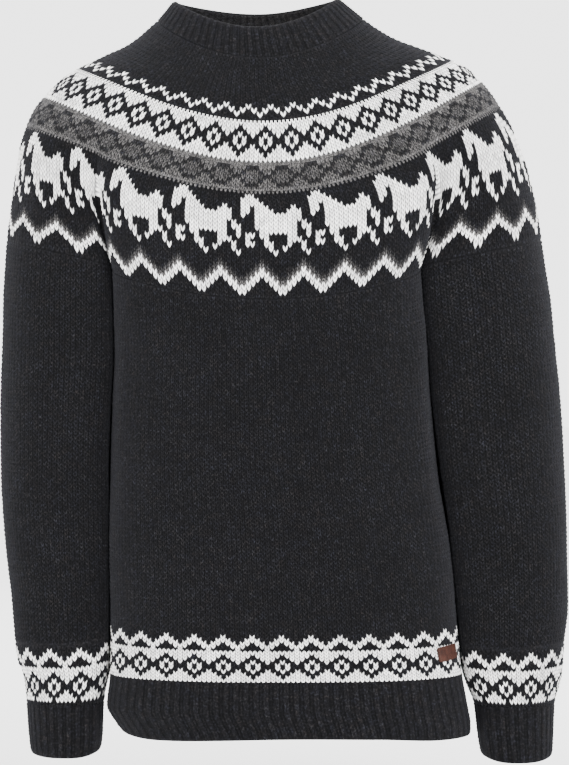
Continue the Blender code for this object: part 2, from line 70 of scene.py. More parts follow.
# Roundness of the corners and of the neck's oval, where 2 is an ellipse
BODY_ROUNDNESS, SLEEVE_ROUNDNESS, NECK_ROUNDNESS = 2.25, 2.1, 2.05
# Width and depth that space the stitches evenly round each kind of corner
BODY_CORNER, INNER_CORNER, OUTER_CORNER = (163, 75), (42, 24), (60, 72)
# Lengths that the table of folds is drawn on: half round the body, and round a sleeve
HALF_BODY, WHOLE_SLEEVE = 490.0, 380.0

YOKE = (
    # Rings from the collar's base to the row where body and sleeves begin
    ("row", "x_left", "x_right", "y_front", "y_back",
     "z_front", "z_left", "z_right", "z_back", "power_front", "power_back", "crease"),
    (0.0, -109, 96, -78, 76, -3, 41, 43, 24, 1.5, 1.5, 0.0),
    (7.0, -137.5, 124, -91, 87, -28, 17, 25, -2, 1.5, 1.5, 0.0),
    (14.0, -171, 165, -101, 97, -51, 1, 9, -28, 1.6, 1.5, 0.0),
    (21.0, -199, 196, -109, 104, -79, -13, -5, -54, 1.6, 1.5, 0.0),
    (28.0, -218, 214, -115, 109, -107, -30, -20, -79, 1.6, 1.5, 0.05),
    (34.0, -233, 229, -119, 112, -132, -48, -39, -103, 1.6, 1.4, 0.25),
    (43.0, -247, 252.5, -122, 114, -165, -87, -85, -139, 1.6, 1.3, 0.60),
    (52.0, -254, 267, -124, 114, -202, -141, -141, -176, 1.6, 1.25, 0.88),
    (61.0, -259, 274, -125, 113, -240, -178, -178, -214, 1.6, 1.2, 1.0),
)

ARMHOLE = (
    # Where the crease runs on the yoke rings above, and the sleeve's depth there
    ("row", "x_left", "x_right", "y_front", "y_back", "sleeve_front", "sleeve_back"),
    (28.0, -186, 186, -84, 80, -74, 72),
    (34.0, -182, 181, -80, 76, -74, 72),
    (43.0, -172, 171, -68, 66, -74, 73),
    (52.0, -160, 160, -56, 56, -73, 73),
    (61.0, -152, 151, -50, 50, -72, 73),
)

BODY = (
    ("z", "x_left", "x_right", "y_front", "y_back", "flat_front", "flat_back"),
    (-170, -153, 152, -124, 113, 50, 50),
    (-204, -152, 151.5, -125, 113, 50, 50),
    (-240, -150.5, 153, -125, 113, 49, 49),
    (-290, -150, 158, -124, 112, 46, 46),
    (-338, -152.5, 162, -122, 110, 44, 44),
    (-408, -154.5, 169.5, -120, 108, 42, 42),
    (-470, -154.5, 179, -119, 107, 40, 40),
    (-538, -154, 185.5, -119, 107, 38, 38),
    (-580, -154.5, 189.5, -119, 107, 36, 36),
    (-608, -155, 192.5, -118, 106, 34, 34),
    (-640, -158.4, 198.5, -116, 105, 30, 30),
    (-650, -154, 200.5, -115, 105, 28, 28),
    (-658, -148.8, 201.7, -114, 104, 26, 26),
    (-670, -141.5, 202, -112, 102, 24, 24),
)

SLEEVE_LEFT = (
    ("z", "x_inner", "x_outer", "y_front", "y_back", "y_middle", "flat"),
    (-170, -153.3, -258, -72, 73, 0, 50),
    (-204, -152.3, -261, -72, 73, 0, 50),
    (-240, -151.8, -263.5, -71, 72, 0, 48),
    (-290, -151.5, -264.5, -69, 69, -1, 45),
    (-338, -154, -265.5, -67, 66, -2, 42),
    (-408, -156, -265.5, -65, 60, -4, 38),
    (-470, -156, -261.5, -64, 54, -7, 34),
    (-538, -155.6, -253.8, -61, 44, -11, 28),
    (-580, -156.2, -249.5, -58, 36, -13, 24),
    (-598, -156.8, -246.5, -57, 33, -14, 21),
    (-608, -157.2, -242, -56, 31, -14, 20),
    (-622, -160.3, -239.5, -55, 28, -14, 17),
    (-640, -162.8, -238.2, -53, 26, -14, 12),
    (-668, -163.5, -236.4, -52, 24, -14, 9),
    (-692, -166.5, -233.5, -50, 22, -14, 8),
)

SLEEVE_RIGHT = (
    ("z", "x_inner", "x_outer", "y_front", "y_back", "y_middle", "flat"),
    (-170, 152.3, 272, -73, 74, 0, 50),
    (-204, 151.8, 278, -73, 74, 0, 50),
    (-240, 154.2, 284.4, -72, 73, 0, 48),
    (-290, 159.6, 288.4, -70, 70, -1, 45),
    (-338, 163.6, 292.6, -68, 67, -2, 42),
    (-408, 171.2, 296.5, -66, 61, -4, 38),
    (-470, 180.8, 299, -65, 55, -7, 34),
    (-538, 187.4, 299.3, -62, 46, -11, 28),
    (-580, 191.4, 295, -59, 38, -13, 24),
    (-608, 195.5, 293.5, -57, 33, -14, 20),
    (-622, 200, 290.5, -56, 30, -14, 17),
    (-640, 206.4, 286, -55, 28, -14, 12),
    (-668, 210, 285, -54, 26, -14, 9),
    (-698, 215.5, 283.5, -52, 24, -14, 8),
)

COLLAR = (
    # From the neck seam to the rim, each row leans in over the last
    ("share", "x_left", "x_right", "y_front", "y_back",
     "z_front", "z_left", "z_right", "z_back", "power_front", "power_back"),
    (0.0, -109, 96, -78, 76, -3, 41, 43, 24, 1.5, 1.5),
    (0.5, -100.3, 82.8, -71.5, 70.5, 13, 51, 53.5, 40, 1.5, 1.9),
    (0.86, -94.2, 73.4, -65, 65, 26, 58.5, 61, 51, 1.5, 2.6),
    (1.0, -90.5, 69, -61.5, 62, 29.5, 60.7, 63.7, 54.8, 1.5, 2.8),
)

FOLDS = (
    # Soft troughs down the cloth: where each starts and ends, in u and z of its piece
    ("piece", "u_start", "z_start", "u_end", "z_end", "width", "depth"),
    ("body_front", 0.15, -236, 0.24, -352, 15, 2.6),
    ("body_front", 0.12, -262, 0.15, -470, 13, 2.2),
    ("body_front", 0.84, -232, 0.74, -330, 16, 2.4),
    ("body_front", 0.88, -268, 0.86, -500, 13, 2.4),
    ("body_back", 0.16, -236, 0.27, -362, 16, 2.6),
    ("body_back", 0.86, -240, 0.76, -345, 15, 2.4),
    ("body_back", 0.44, -300, 0.52, -560, 22, 2.0),
    ("sleeve_left", 0.10, -240, 0.17, -420, 12, 3.2),
    ("sleeve_left", 0.63, -330, 0.45, -392, 11, 2.6),
    ("sleeve_left", 0.66, -420, 0.50, -446, 11, 2.4),
    ("sleeve_right", 0.10, -250, 0.15, -440, 12, 3.2),
    ("sleeve_right", 0.62, -322, 0.46, -378, 11, 2.6),
    ("sleeve_right", 0.65, -412, 0.48, -452, 11, 2.4),
)

# Where the ribbed hem and cuffs begin and end
HEM_TOP_MIDDLE, HEM_TOP_SIDE = -610.0, -605.0
HEM_EDGE = (
    ("u", "z"),
    (0.0, -661.5), (0.10, -663.0), (0.15, -667.3), (0.22, -669.8), (0.36, -668.0),
    (0.5, -666.2), (0.65, -667.0), (0.77, -670.0), (0.88, -668.5), (1.0, -667.0),
)
CUFFS = (
    ("side", "z_top", "z_end", "lift_inner", "lift_outer"),
    ("left", -638.5, -691.0, 6.0, 3.0),
    ("right", -640.0, -695.5, 6.0, 5.0),
)

# The yoke's last ring, on which it meets body and sleeves
LAST_RING = len(YOKE) - 2

# A piece's flat layout: start and span across and up, the same up for the strip of its
# inside, and the lines at which its lips end
LAYOUT_ACROSS, LAYOUT_UP, LAYOUT_INSIDE = (0.02, 0.95), (0.14, 0.83), (0.01, 0.10)
LIP_TOP, LIP_FOOT, LIP_LEFT, LIP_RIGHT = 0.985, 0.125, 0.008, 0.982


def column(table, name):
    """One named column of a table, without its heading."""
    at = table[0].index(name)
    return np.array([row[at] for row in table[1:]], float)


def smooth(knots, values, at):
    """Cubic through the rows of a table that never swings past its neighbours."""
    knots = np.asarray(knots, float)
    values = np.asarray(values, float)
    if knots[0] > knots[-1]:
        knots, values = knots[::-1], values[::-1]
    step = np.diff(knots)
    shape = (-1,) + (1,) * (values.ndim - 1)
    slope = np.diff(values, axis=0) / step.reshape(shape)
    middle = np.zeros_like(slope[1:])
    same = slope[1:] * slope[:-1] > 0
    middle[same] = (2 * slope[1:] * slope[:-1] / np.where(same, slope[1:] + slope[:-1], 1))[same]
    tangent = np.concatenate([slope[:1], middle, slope[-1:]])
    at = np.clip(np.asarray(at, float), knots[0], knots[-1])
    i = np.clip(np.searchsorted(knots, at, side="right") - 1, 0, len(step) - 1)
    h = step[i]
    s = (at - knots[i]) / h
    more = (Ellipsis,) + (None,) * (values.ndim - 1)
    s, h = s[more], h[more]
    return (
        values[i] * (1 + 2 * s) * (1 - s) ** 2
        + tangent[i] * h * s * (1 - s) ** 2
        + values[i + 1] * s * s * (3 - 2 * s)
        - tangent[i + 1] * h * s * s * (1 - s)
    )


def look_up(table, name, z):
    return smooth(column(table, table[0][0]), column(table, name), z)


def row_of(table, i):
    """Row i of a table, each value under its heading."""
    return dict(zip(table[0], table[i + 1]))


def quarter(f, wide, deep, roundness):
    """A quarter of a superellipse at even steps of length.

    f = 0 is its end on the wide axis, as (1, 0), and f = 1 its end on the deep axis.
    """
    t = np.linspace(0, math.pi / 2, 181)
    x = np.cos(t) ** (2 / roundness)
    y = np.sin(t) ** (2 / roundness)
    along = np.concatenate([[0], np.cumsum(np.hypot(np.diff(x) * wide, np.diff(y) * deep))])
    angle = np.interp(f, along / along[-1], t)
    return np.cos(angle) ** (2 / roundness), np.sin(angle) ** (2 / roundness)


def body_corner(u):
    """Shares of the body's half width and of its depth, round its corner."""
    f = (np.minimum(u, 1 - u) - FLAT_SHARE) / (0.5 - FLAT_SHARE)
    return quarter(np.clip(f, 0, 1), *BODY_CORNER, BODY_ROUNDNESS)


def body_point(u, z, back):
    """The body's outside. u runs from the left side seam, 0, to the right one, 1."""
    u, z = np.broadcast_arrays(np.asarray(u, float), np.asarray(z, float))
    left, right = look_up(BODY, "x_left", z), look_up(BODY, "x_right", z)
    middle = (left + right) / 2
    edge = np.where(u < 0.5, left, right)
    deep = np.abs(look_up(BODY, "y_back" if back else "y_front", z))
    flat = look_up(BODY, "flat_back" if back else "flat_front", z)
    v = np.minimum(u, 1 - u)
    on_flat = v < FLAT_SHARE
    across, out = body_corner(u)
    x = np.where(on_flat, edge, middle + (edge - middle) * across)
    y = np.where(on_flat, flat * v / FLAT_SHARE, flat + (deep - flat) * out)
    return np.stack([x, y if back else -y, z], -1)


def sleeve_bend(g, inner, outer, crease_y, deep, side_y):
    """x and y round half a sleeve, where g is 0 at the crease and 1 at the outer side.

    inner and outer are the x of its two sides, deep is the y of its deepest line, and
    side_y is the y of its outer side.
    """
    deepest = inner + DEEPEST * (outer - inner)
    to_inner = np.clip(g / CORNER_SHARE, 0, 1)
    to_outer = np.clip((1 - g) / (1 - CORNER_SHARE), 0, 1)
    in_x, in_y = quarter(to_inner, *INNER_CORNER, SLEEVE_ROUNDNESS)
    out_x, out_y = quarter(to_outer, *OUTER_CORNER, SLEEVE_ROUNDNESS)
    in_corner = g < CORNER_SHARE
    x = deepest + np.where(in_corner, (inner - deepest) * in_x, (outer - deepest) * out_x)
    corner_y = crease_y + (deep - crease_y) * in_y
    return x, np.where(in_corner, corner_y, side_y + (deep - side_y) * out_y)


def sleeve_point(table, a, z):
    """A sleeve's outside. a runs from the front crease, 0, round the outer side to the
    back crease, SLEEVE_ROUND, and back along the flat inner side to 1."""
    a, z = np.broadcast_arrays(np.asarray(a, float), np.asarray(z, float))
    inner, outer = look_up(table, "x_inner", z), look_up(table, "x_outer", z)
    flat, middle = look_up(table, "flat", z), look_up(table, "y_middle", z)
    half = SLEEVE_ROUND / 2
    front = a < half
    deep = np.where(front, look_up(table, "y_front", z), look_up(table, "y_back", z))
    crease_y = middle + np.where(front, -flat, flat)
    g = np.clip(np.where(front, a, SLEEVE_ROUND - a) / half, 0, 1)
    x, y = sleeve_bend(g, inner, outer, crease_y, deep, middle)
    on_flat = a > SLEEVE_ROUND
    share = np.clip((a - SLEEVE_ROUND) / (1 - SLEEVE_ROUND), 0, 1)
    x = np.where(on_flat, inner, x)
    y = np.where(on_flat, middle + flat * (1 - 2 * share), y)
    return np.stack([x, y, z], -1)


def ring_height(u, table, i):
    """Height on ring i of a table, which turns from its sides to its middle."""
    row = row_of(table, i)
    back = u >= 0.5
    turn = np.abs(np.where(back, u - 0.75, u - 0.25)) / 0.25
    cosine = np.cos(np.clip(turn, 0, 1) * math.pi / 2)
    share = cosine ** np.where(back, row["power_back"], row["power_front"])
    side = np.where((u < 0.25) | (u > 0.75), row["z_left"], row["z_right"])
    middle = np.where(back, row["z_back"], row["z_front"])
    return side + (middle - side) * share


def oval(u, row):
    """An even oval with the row's widths and depths."""
    middle = (row["x_left"] + row["x_right"]) / 2
    wide = (row["x_right"] - row["x_left"]) / 2
    back = u >= 0.5
    h = np.where(back, u - 0.5, u) * 2
    f = np.where(h < 0.5, h, 1 - h) * 2
    across, out = quarter(f, wide, abs(row["y_front"]), NECK_ROUNDNESS)
    left = (u < 0.25) | (u > 0.75)
    x = middle + np.where(left, -wide, wide) * across
    y = np.where(back, row["y_back"], row["y_front"]) * out
    return x, y


def yoke_places(u):
    """For each u on a yoke ring: whether it is at the back, on the left sleeve or on the
    right one, how far it is round that sleeve, and where it is on the body."""
    back = u >= 0.5
    h = np.where(back, 1 - u, u) * 2
    share = np.where(back, SLEEVE_SHARE_BACK, SLEEVE_SHARE)
    on_left = h < share
    on_right = h > 1 - share
    # g is 0 at the crease and 1 at the outer side
    g = np.where(on_left, 1 - h / share, 1 - (1 - h) / share)
    body_u = FLAT_SHARE + (h - share) / (1 - 2 * share) * (1 - 2 * FLAT_SHARE)
    return back, on_left, on_right, g, np.clip(body_u, FLAT_SHARE, 1 - FLAT_SHARE)


def creased_ring(u, i):
    """Ring i of the yoke with its armhole creases at full depth."""
    z = ring_height(u, YOKE, i)
    back, on_left, on_right, g, body_u = yoke_places(u)
    if i == LAST_RING:
        # The last ring lies on the body and the sleeves themselves
        a = SLEEVE_ROUND / 2 * np.where(back, 2 - g, g)
        torso = np.where(
            back[..., None], body_point(body_u, z, True), body_point(body_u, z, False)
        )
        points = np.where(on_left[..., None], sleeve_point(SLEEVE_LEFT, a, z), torso)
        return np.where(on_right[..., None], sleeve_point(SLEEVE_RIGHT, a, z), points)
    here = row_of(YOKE, i)
    line = {name: float(look_up(ARMHOLE, name, here["row"])) for name in ARMHOLE[0][1:]}
    crease_y = np.where(back, line["y_back"], line["y_front"])
    deep = np.where(back, here["y_back"], here["y_front"])
    across, out = body_corner(body_u)
    middle = (line["x_left"] + line["x_right"]) / 2
    edge = np.where(body_u < 0.5, line["x_left"], line["x_right"])
    x = middle + (edge - middle) * across
    y = crease_y + (deep - crease_y) * out
    sleeve_deep = np.where(back, line["sleeve_back"], line["sleeve_front"])
    for side, on_side in (("x_left", on_left), ("x_right", on_right)):
        sleeve_x, sleeve_y = sleeve_bend(
            np.clip(g, 0, 1), line[side], here[side], crease_y, sleeve_deep, 0.0
        )
        x = np.where(on_side, sleeve_x, x)
        y = np.where(on_side, sleeve_y, y)
    return np.stack([x, y, z], -1)


def yoke_ring(u, i):
    """Ring i of the yoke: an oval at the neck, and more and more creased further down."""
    row = row_of(YOKE, i)
    if row["crease"] >= 1:
        return creased_ring(u, i)
    x, y = oval(u, row)
    plain = np.stack([x, y, ring_height(u, YOKE, i)], -1)
    if row["crease"] == 0:
        return plain
    return plain + row["crease"] * (creased_ring(u, i) - plain)


def yoke_rings(u):
    """All rings of the yoke. u = 0 is the left shoulder line, 0.25 the front middle, 0.5
    the right shoulder line and 0.75 the back middle."""
    return np.stack([yoke_ring(u, i) for i in range(LAST_RING + 1)])


def yoke_point(u, rows):
    """The yoke's outside, as rows x columns."""
    return smooth(column(YOKE, "row"), yoke_rings(u), rows)


def collar_point(u, shares):
    """The collar's outside, as shares of its height x columns."""
    rings = []
    for i in range(len(COLLAR) - 1):
        x, y = oval(u, row_of(COLLAR, i))
        rings.append(np.stack([x, y, ring_height(u, COLLAR, i)], -1))
    return smooth(column(COLLAR, "share"), np.stack(rings), shares)


def normals(points, closed, level=()):
    """Outward directions on a grid whose rows run down and columns run to the right.

    Rows named in level get level directions, so that the walls on both sides of a seam
    end in the same way. An open grid ends at the sides, square to the front.
    """
    if closed:
        across = np.roll(points, -1, 1) - np.roll(points, 1, 1)
    else:
        across = np.gradient(points, axis=1)
    down = np.gradient(points, axis=0)
    for r in level:
        down[r] = (0, 0, -1)
    n = np.cross(down, across)
    if not closed:
        n[:, [0, -1], 1] = 0
    return n / np.linalg.norm(n, axis=-1, keepdims=True)


def closed_normals(places, level=()):
    """The same for a tube whose last column lies on its first."""
    n = normals(places[:, :-1], True, level)
    return np.concatenate([n, n[:, :1]], 1)


def fold_depth(piece, u, z):
    """How far the soft troughs of a piece sink the cloth at each point."""
    depth = np.zeros(np.broadcast(u, z).shape)
    around = HALF_BODY if piece.startswith("body") else WHOLE_SLEEVE
    for name, u0, z0, u1, z1, width, deep in FOLDS[1:]:
        if name != piece:
            continue
        ax, ay, bx, by = u0 * around, z0, u1 * around, z1
        length = math.hypot(bx - ax, by - ay)
        tx, ty = (bx - ax) / length, (by - ay) / length
        px, py = u * around - ax, z - ay
        along = (px * tx + py * ty) / length
        off = px * ty - py * tx
        fade = np.clip(np.sin(math.pi * np.clip(along, 0, 1)), 0, 1) ** 0.7
        depth = depth + deep * fade * np.exp(-((off / width) ** 2))
    return depth


def unevenness(points):
    """Soft hollows and swells of worn wool, the same wherever two pieces meet."""
    x, y, z = np.moveaxis(points, -1, 0)
    wave = (
        np.sin(0.031 * x + 0.017 * z + 0.9)
        + np.sin(0.024 * z - 0.036 * x + 2.1)
        + np.sin(0.047 * y + 0.029 * z - 0.6)
        + 0.6 * np.sin(0.071 * x - 0.043 * z + 0.03 * y)
    )
    return SWELL * wave / 2.4


def crease_z(back):
    """Height of the point where yoke, body and sleeve meet."""
    at = np.array(1 - SLEEVE_SHARE_BACK / 2 if back else SLEEVE_SHARE / 2)
    return float(ring_height(at, YOKE, LAST_RING))


def top_of_body(u, back):
    """Height of the seam between yoke and body, level under the arm."""
    share = SLEEVE_SHARE_BACK if back else SLEEVE_SHARE
    h = share + (u - FLAT_SHARE) / (1 - 2 * FLAT_SHARE) * (1 - 2 * share)
    h = np.clip(h, share, 1 - share) / 2
    z = ring_height(1 - h if back else h, YOKE, LAST_RING)
    under_arm = (crease_z(False) + crease_z(True)) / 2
    toward = np.clip(np.minimum(u, 1 - u) / FLAT_SHARE, 0, 1)
    return np.where(toward < 1, under_arm + (crease_z(back) - under_arm) * toward, z)


def hem_top(u):
    """Height of the seam between body and hem, which rises toward the sides."""
    return HEM_TOP_MIDDLE + (HEM_TOP_SIDE - HEM_TOP_MIDDLE) * np.abs(2 * u - 1) ** 3


def put_in_scene(bm, name):
    """An object made of the mesh that bm holds."""
    mesh = bpy.data.meshes.new(name)
    bm.to_mesh(mesh)
    bm.free()
    made = bpy.data.objects.new(name, mesh)
    bpy.context.scene.collection.objects.link(made)
    return made


# Camera, light and floor

LENS, CAMERA_SPOT = 160.0, (0.0175, -3.4, -0.3205)
FLOOR_SIZE, FLOOR_HEIGHT, PALE = 30.0, -0.76, (0.90, 0.90, 0.90, 1)
SKY_STRENGTH = 3.4
LIGHTS = (
    # name, place, point that it faces, size, power
    ("key_light", (1.1, -3.2, 1.7), (0, 0, -0.25), 1.6, 155.0),
    ("fill_light", (-1.8, -3.2, 0.6), (0, 0, -0.35), 2.0, 60.0),
    ("back_light", (0.6, 3.0, 1.8), (0, 0, -0.2), 2.0, 70.0),
    ("left_light", (-3.2, 1.2, 0.8), (0, 0, -0.3), 1.6, 16.0),
    ("right_light", (3.2, 1.2, 0.8), (0, 0, -0.3), 1.6, 16.0),
)


def set_camera():
    lens = bpy.data.cameras.new("camera")
    lens.lens, lens.sensor_width = LENS, 36.0
    lens.clip_start, lens.clip_end = 0.1, 200.0
    camera = bpy.data.objects.new("camera", lens)
    camera.location = CAMERA_SPOT
    camera.rotation_euler = (math.radians(90), 0, 0)
    bpy.context.scene.collection.objects.link(camera)
    bpy.context.scene.camera = camera


def lay_floor():
    bm = bmesh.new()
    bmesh.ops.create_grid(bm, x_segments=24, y_segments=24, size=FLOOR_SIZE)
    bmesh.ops.translate(bm, verts=bm.verts, vec=(0, 0, FLOOR_HEIGHT))
    floor = put_in_scene(bm, "floor")
    paper = bpy.data.materials.new("pale_floor")
    paper.use_nodes = True
    shader = paper.node_tree.nodes["Principled BSDF"]
    shader.inputs["Base Color"].default_value = PALE
    shader.inputs["Roughness"].default_value = 0.9
    floor.data.materials.append(paper)


def light_studio():
    world = bpy.data.worlds.new("studio")
    world.use_nodes = True
    sky = world.node_tree.nodes["Background"]
    sky.inputs["Color"].default_value = (1, 1, 1, 1)
    sky.inputs["Strength"].default_value = SKY_STRENGTH
    bpy.context.scene.world = world
    for name, spot, aim, size, power in LIGHTS:
        lamp = bpy.data.lights.new(name, "AREA")
        lamp.shape, lamp.size, lamp.energy = "DISK", size, power
        light = bpy.data.objects.new(name, lamp)
        light.location = spot
        light.rotation_euler = (Vector(aim) - Vector(spot)).to_track_quat("-Z", "Y").to_euler()
        bpy.context.scene.collection.objects.link(light)


set_camera()
lay_floor()
light_studio()

# Yarns by number, as the charts and the wool read them
CHARCOAL_YARN, MIXED_YARN, SHADOW_YARN, RING_YARN = 0.0, 0.25, 0.30, 0.41
GREY_YARN, WHITE_YARN = 0.5, 1.0
# Yarn and tone inside the collar: painted light, paler than the charcoal yarn, so that the
# inside shows as pale as its outside despite the shade that falls within the collar
INSIDE_PAINTED_LIGHT_YARN, INSIDE_PAINTED_LIGHT_TONE = 0.27, 0.6
YARNS = {
    ".": CHARCOAL_YARN, ",": MIXED_YARN, ";": RING_YARN, "g": GREY_YARN, "#": WHITE_YARN,
}

# Charts, each one repeat wide, from the top row down
SMALL_ZIGZAG = ("..#.", ".#.#", "#...")
DIAMONDS = (
    "######", ".#####", "..###.", "#..#..", ".#...#",
    ".#...#", "#..#..", "..###.", ".#####", "######",
)
PEAKS = ("#.....", "##...#", ".##.##", "..###.", "...#..")
GREY_RINGS = ("gg,,,gg", "g,;;;,g", ",;;;;;,", "g,;;;,g", "gg,,,gg")
HORSES = (
    ".##............",
    "####...........",
    "#####..........",
    "##.###.....#...",
    "##.####...###..",
    "#..##########..",
    "...##########..",
    "...#########.#.",
    "...#########.##",
    "....########..#",
    ".##.##....##..#",
    ".#...#....###..",
    ".##..##...#..#.",
    "......#..#...#.",
    ".......#......#",
)
# Rows by which the big zigzag sinks, from its trough round to the next one
BIG_ZIGZAG = (4, 4, 3, 2, 1, 0, 1, 2, 3)

# Stitch of the front half, counted from the left shoulder, where each repeat starts
ZIGZAG_START, DIAMOND_START, RING_START, HORSE_START, BIG_START = 39, 60, 71, 70, 78
# Stitch at which a peak starts on the body and on each sleeve
BODY_PEAK, CUFF_PEAK = 60, {"left": 52, "right": 4}

# The yoke's zones from the neck down: first row, last row, stitches on front and back
YOKE_ZONES = ((0, 18, 84, 84), (18, 29, 126, 126), (29, 35, 147, 147), (35, 61, 158, 157))
YOKE_ROWS = 61
# The yarn whose stitch tips reach over the seam at the head of a zone
TIPS = {18: CHARCOAL_YARN, 35: GREY_YARN}
# Row of the last zone under which the big zigzag hangs
BIG_TOP = 17

# How far below the body's last row the pattern band begins, at the middle and the sides
BAND_MIDDLE, BAND_SIDE = 44.8, 50.0
BODY_ROWS, BAND_ROWS, BODY_STITCHES = 96, 15, 110
SLEEVE_ROWS, CUFF_BAND_ROWS = 92, 16
# Stitches round a sleeve, and round the band above each cuff: all, and on the flat side
SLEEVE_STITCHES = (74, 8)
CUFF_STITCHES = {"left": (66, 9), "right": (72, 7)}
# Where that band starts, and how far it rises toward its inner and its outer side
SLEEVE_BAND_TOP = {"left": -579.0, "right": -583.5}
BAND_LIFT = {"left": (6.0, 0.5), "right": (3.5, 4.5)}
# Net rows of a sleeve and of that band which the plain inside follows
SLEEVE_INSIDE, BAND_INSIDE = range(0, 2 * SLEEVE_ROWS + 1, 4), (6, 14, 22, 32)
# Rows of the hem's, the cuffs' and the collar's ribs
HEM_ROWS, CUFF_ROWS, COLLAR_ROWS = 17, 15, 10

# Shares of a ring that are left open at the side seams and at the shoulder lines
SIDE_GAP, SHOULDER_GAP = 0.0004, 0.00011
# Shares of a row that are left open where stitch counts meet on the yoke and sleeves
YOKE_GAP, SLEEVE_GAP = 0.02, 0.1

# The soft fold up the yoke from each armpit: its place along a half ring on front and
# back, its depth and width, and the share, place and width of the swell beside it
FOLD_FRONT, FOLD_BACK, FOLD_DEEP, FOLD_WIDE = 0.110, 0.1135, 3.8, 0.0075
RIDGE_SHARE, RIDGE_AWAY, RIDGE_WIDE = 0.35, 0.021, 0.011
# Yoke rows at which it starts, is full, begins to fade and has gone
FOLD_ROWS = (31, 43, 46, 56)
# Height of the wool's wide, soft swells
SWELL = 0.8

# The wall under the stitches, and the height of a stitch's legs over its grooves
STITCH_LOW, STITCH_RISE = -0.65, 1.35
# Share of that height where a piece ends, and where stitch counts meet within a piece
EDGE_HIGH, SEAM_HIGH = 0.2, 0.45
LEGS = np.array([[0.0, 0.38, 0.0, 0.38], [0.26, 1.0, 0.66, 1.0]])
# How far down its row each column of a stitch lies, which gives it its V
SLANT = np.array([-0.38, 0.0, 0.48, 0.0])
# The same for one rib: a groove, two legs and the fall to the next groove
RIB_LOW, RIB_RISE = -0.5, 1.5
RIB_AT = np.array([0.0, 0.20, 0.35, 0.5, 0.65, 0.80])
RIB_LEGS = np.array([[0.34, 0.12, 0.72, 0.40, 0.72, 0.12], [0.52, 0.20, 1.0, 0.60, 1.0, 0.20]])
RIB_SLANT = np.array([-0.22, -0.22, 0.0, 0.26, 0.0, -0.22])
# How much stitches and ribs differ from their neighbours in height
STITCH_SPREAD, RIB_SPREAD = 0.12, 0.08

# What a piece keeps for each point and each face; pile is the height of a leg, 0 to 1
POINT_VALUES = ("across", "up", "within", "pile")
FACE_VALUES = ("yarn", "tone")
# The lower a point's pile, the darker the shade that the wool paints there
PLAIN_PILE, PLAIN_TONE = 0.6, 0.5

spread = np.random.RandomState(11)


def repeat_of(chart, stitches, start):
    """Yarn numbers for a row of stitches in a chart whose first column falls on start."""
    yarns = np.array([[YARNS[mark] for mark in line] for line in chart])
    return yarns[:, (np.arange(stitches) - start) % yarns.shape[1]]


def kept_slant(r, ends):
    """How much of the stitches' slant each row keeps, where an end may lie level."""
    hold = np.ones((len(r), 1))
    if ends[0]:
        hold[:2, 0] = (0.0, 0.6)
    if ends[1]:
        hold[-2:, 0] = (0.6, 0.0)
    return hold


def stitch_lines(rows, stitches, ends):
    """Column and row places of a stitch net, as two arrays; its ends can lie level."""
    s = np.arange(4 * stitches + 1) / 4.0
    r = np.arange(2 * rows + 1) / 2.0
    slant = SLANT[np.arange(len(s)) % 4]
    return np.broadcast_to(s, (len(r), len(s))), r[:, None] + slant * kept_slant(r, ends)


def stitch_relief(rows, stitches, ends):
    """Height of the stitches over the wall, each one a little different; an end that lies
    level has its own height."""
    columns = np.arange(4 * stitches + 1) % 4
    high = LEGS[np.arange(2 * rows + 1)[:, None] % 2, columns[None, :]]
    loose = 1 + STITCH_SPREAD * spread.standard_normal((rows + 1, stitches + 1))
    per_row = np.minimum(np.arange(2 * rows + 1) // 2, rows)
    per_column = np.minimum(np.arange(4 * stitches + 1) // 4, stitches)
    high = high * loose[per_row][:, per_column]
    if ends[0]:
        high[0] = ends[0]
    if ends[1]:
        high[-1] = ends[1]
    return STITCH_LOW + STITCH_RISE * high, high


def spread_over_net(yarns):
    """One value per stitch spread over the eight faces of its V."""
    return np.repeat(np.repeat(yarns, 2, axis=0), 4, axis=1)


def lay_grid(bm, places, over, yarns=None, high=None, tones=None, inside=False):
    """Lays a grid on rows x columns of places, and keeps where each point lies on the
    piece, from 0 to 1 across and up."""
    rows, columns = places.shape[:2]
    first = len(bm.faces)
    made = bmesh.ops.create_grid(bm, x_segments=columns - 1, y_segments=rows - 1, size=1.0)
    verts = list(made["verts"])
    across, up, within, pile = (bm.verts.layers.float[value] for value in POINT_VALUES)
    if high is None:
        high = np.full((rows, columns), PLAIN_PILE)
    spots = (places[::-1] * MM).reshape(-1, 3).tolist()
    shares = over[::-1].reshape(-1, 2).tolist()
    piles = high[::-1].reshape(-1).tolist()
    for vert, spot, share, its_pile in zip(verts, spots, shares, piles):
        vert.co = spot
        vert[across], vert[up] = share
        vert[within] = 1.0 if inside else 0.0
        vert[pile] = its_pile
    bm.faces.ensure_lookup_table()
    faces = bm.faces[first:]
    if yarns is not None:
        yarn, tone = (bm.faces.layers.float[value] for value in FACE_VALUES)
        all_yarns = yarns[::-1].reshape(-1).tolist()
        all_tones = tones[::-1].reshape(-1).tolist()
        for face, its_yarn, its_tone in zip(faces, all_yarns, all_tones):
            face[yarn] = its_yarn
            face[tone] = its_tone
    if inside:
        bmesh.ops.reverse_faces(bm, faces=faces)
    net = [verts[j * columns:(j + 1) * columns] for j in range(rows)]
    return net[::-1]


def edges_along(bm, verts, closed):
    """The edges between neighbours on a line of points."""
    ends = verts[1:] + verts[:1] if closed else verts[1:]
    return [bm.edges.get(pair) for pair in zip(verts, ends)]


def join(bm, first, second, closed, yarn_number=CHARCOAL_YARN):
    """Closes the gap between two lines of points with faces of one yarn."""
    made = bmesh.ops.bridge_loops(
        bm, edges=edges_along(bm, first, closed) + edges_along(bm, second, closed)
    )
    yarn, tone = (bm.faces.layers.float[value] for value in FACE_VALUES)
    for face in made["faces"]:
        face[yarn] = yarn_number
        face[tone] = PLAIN_TONE


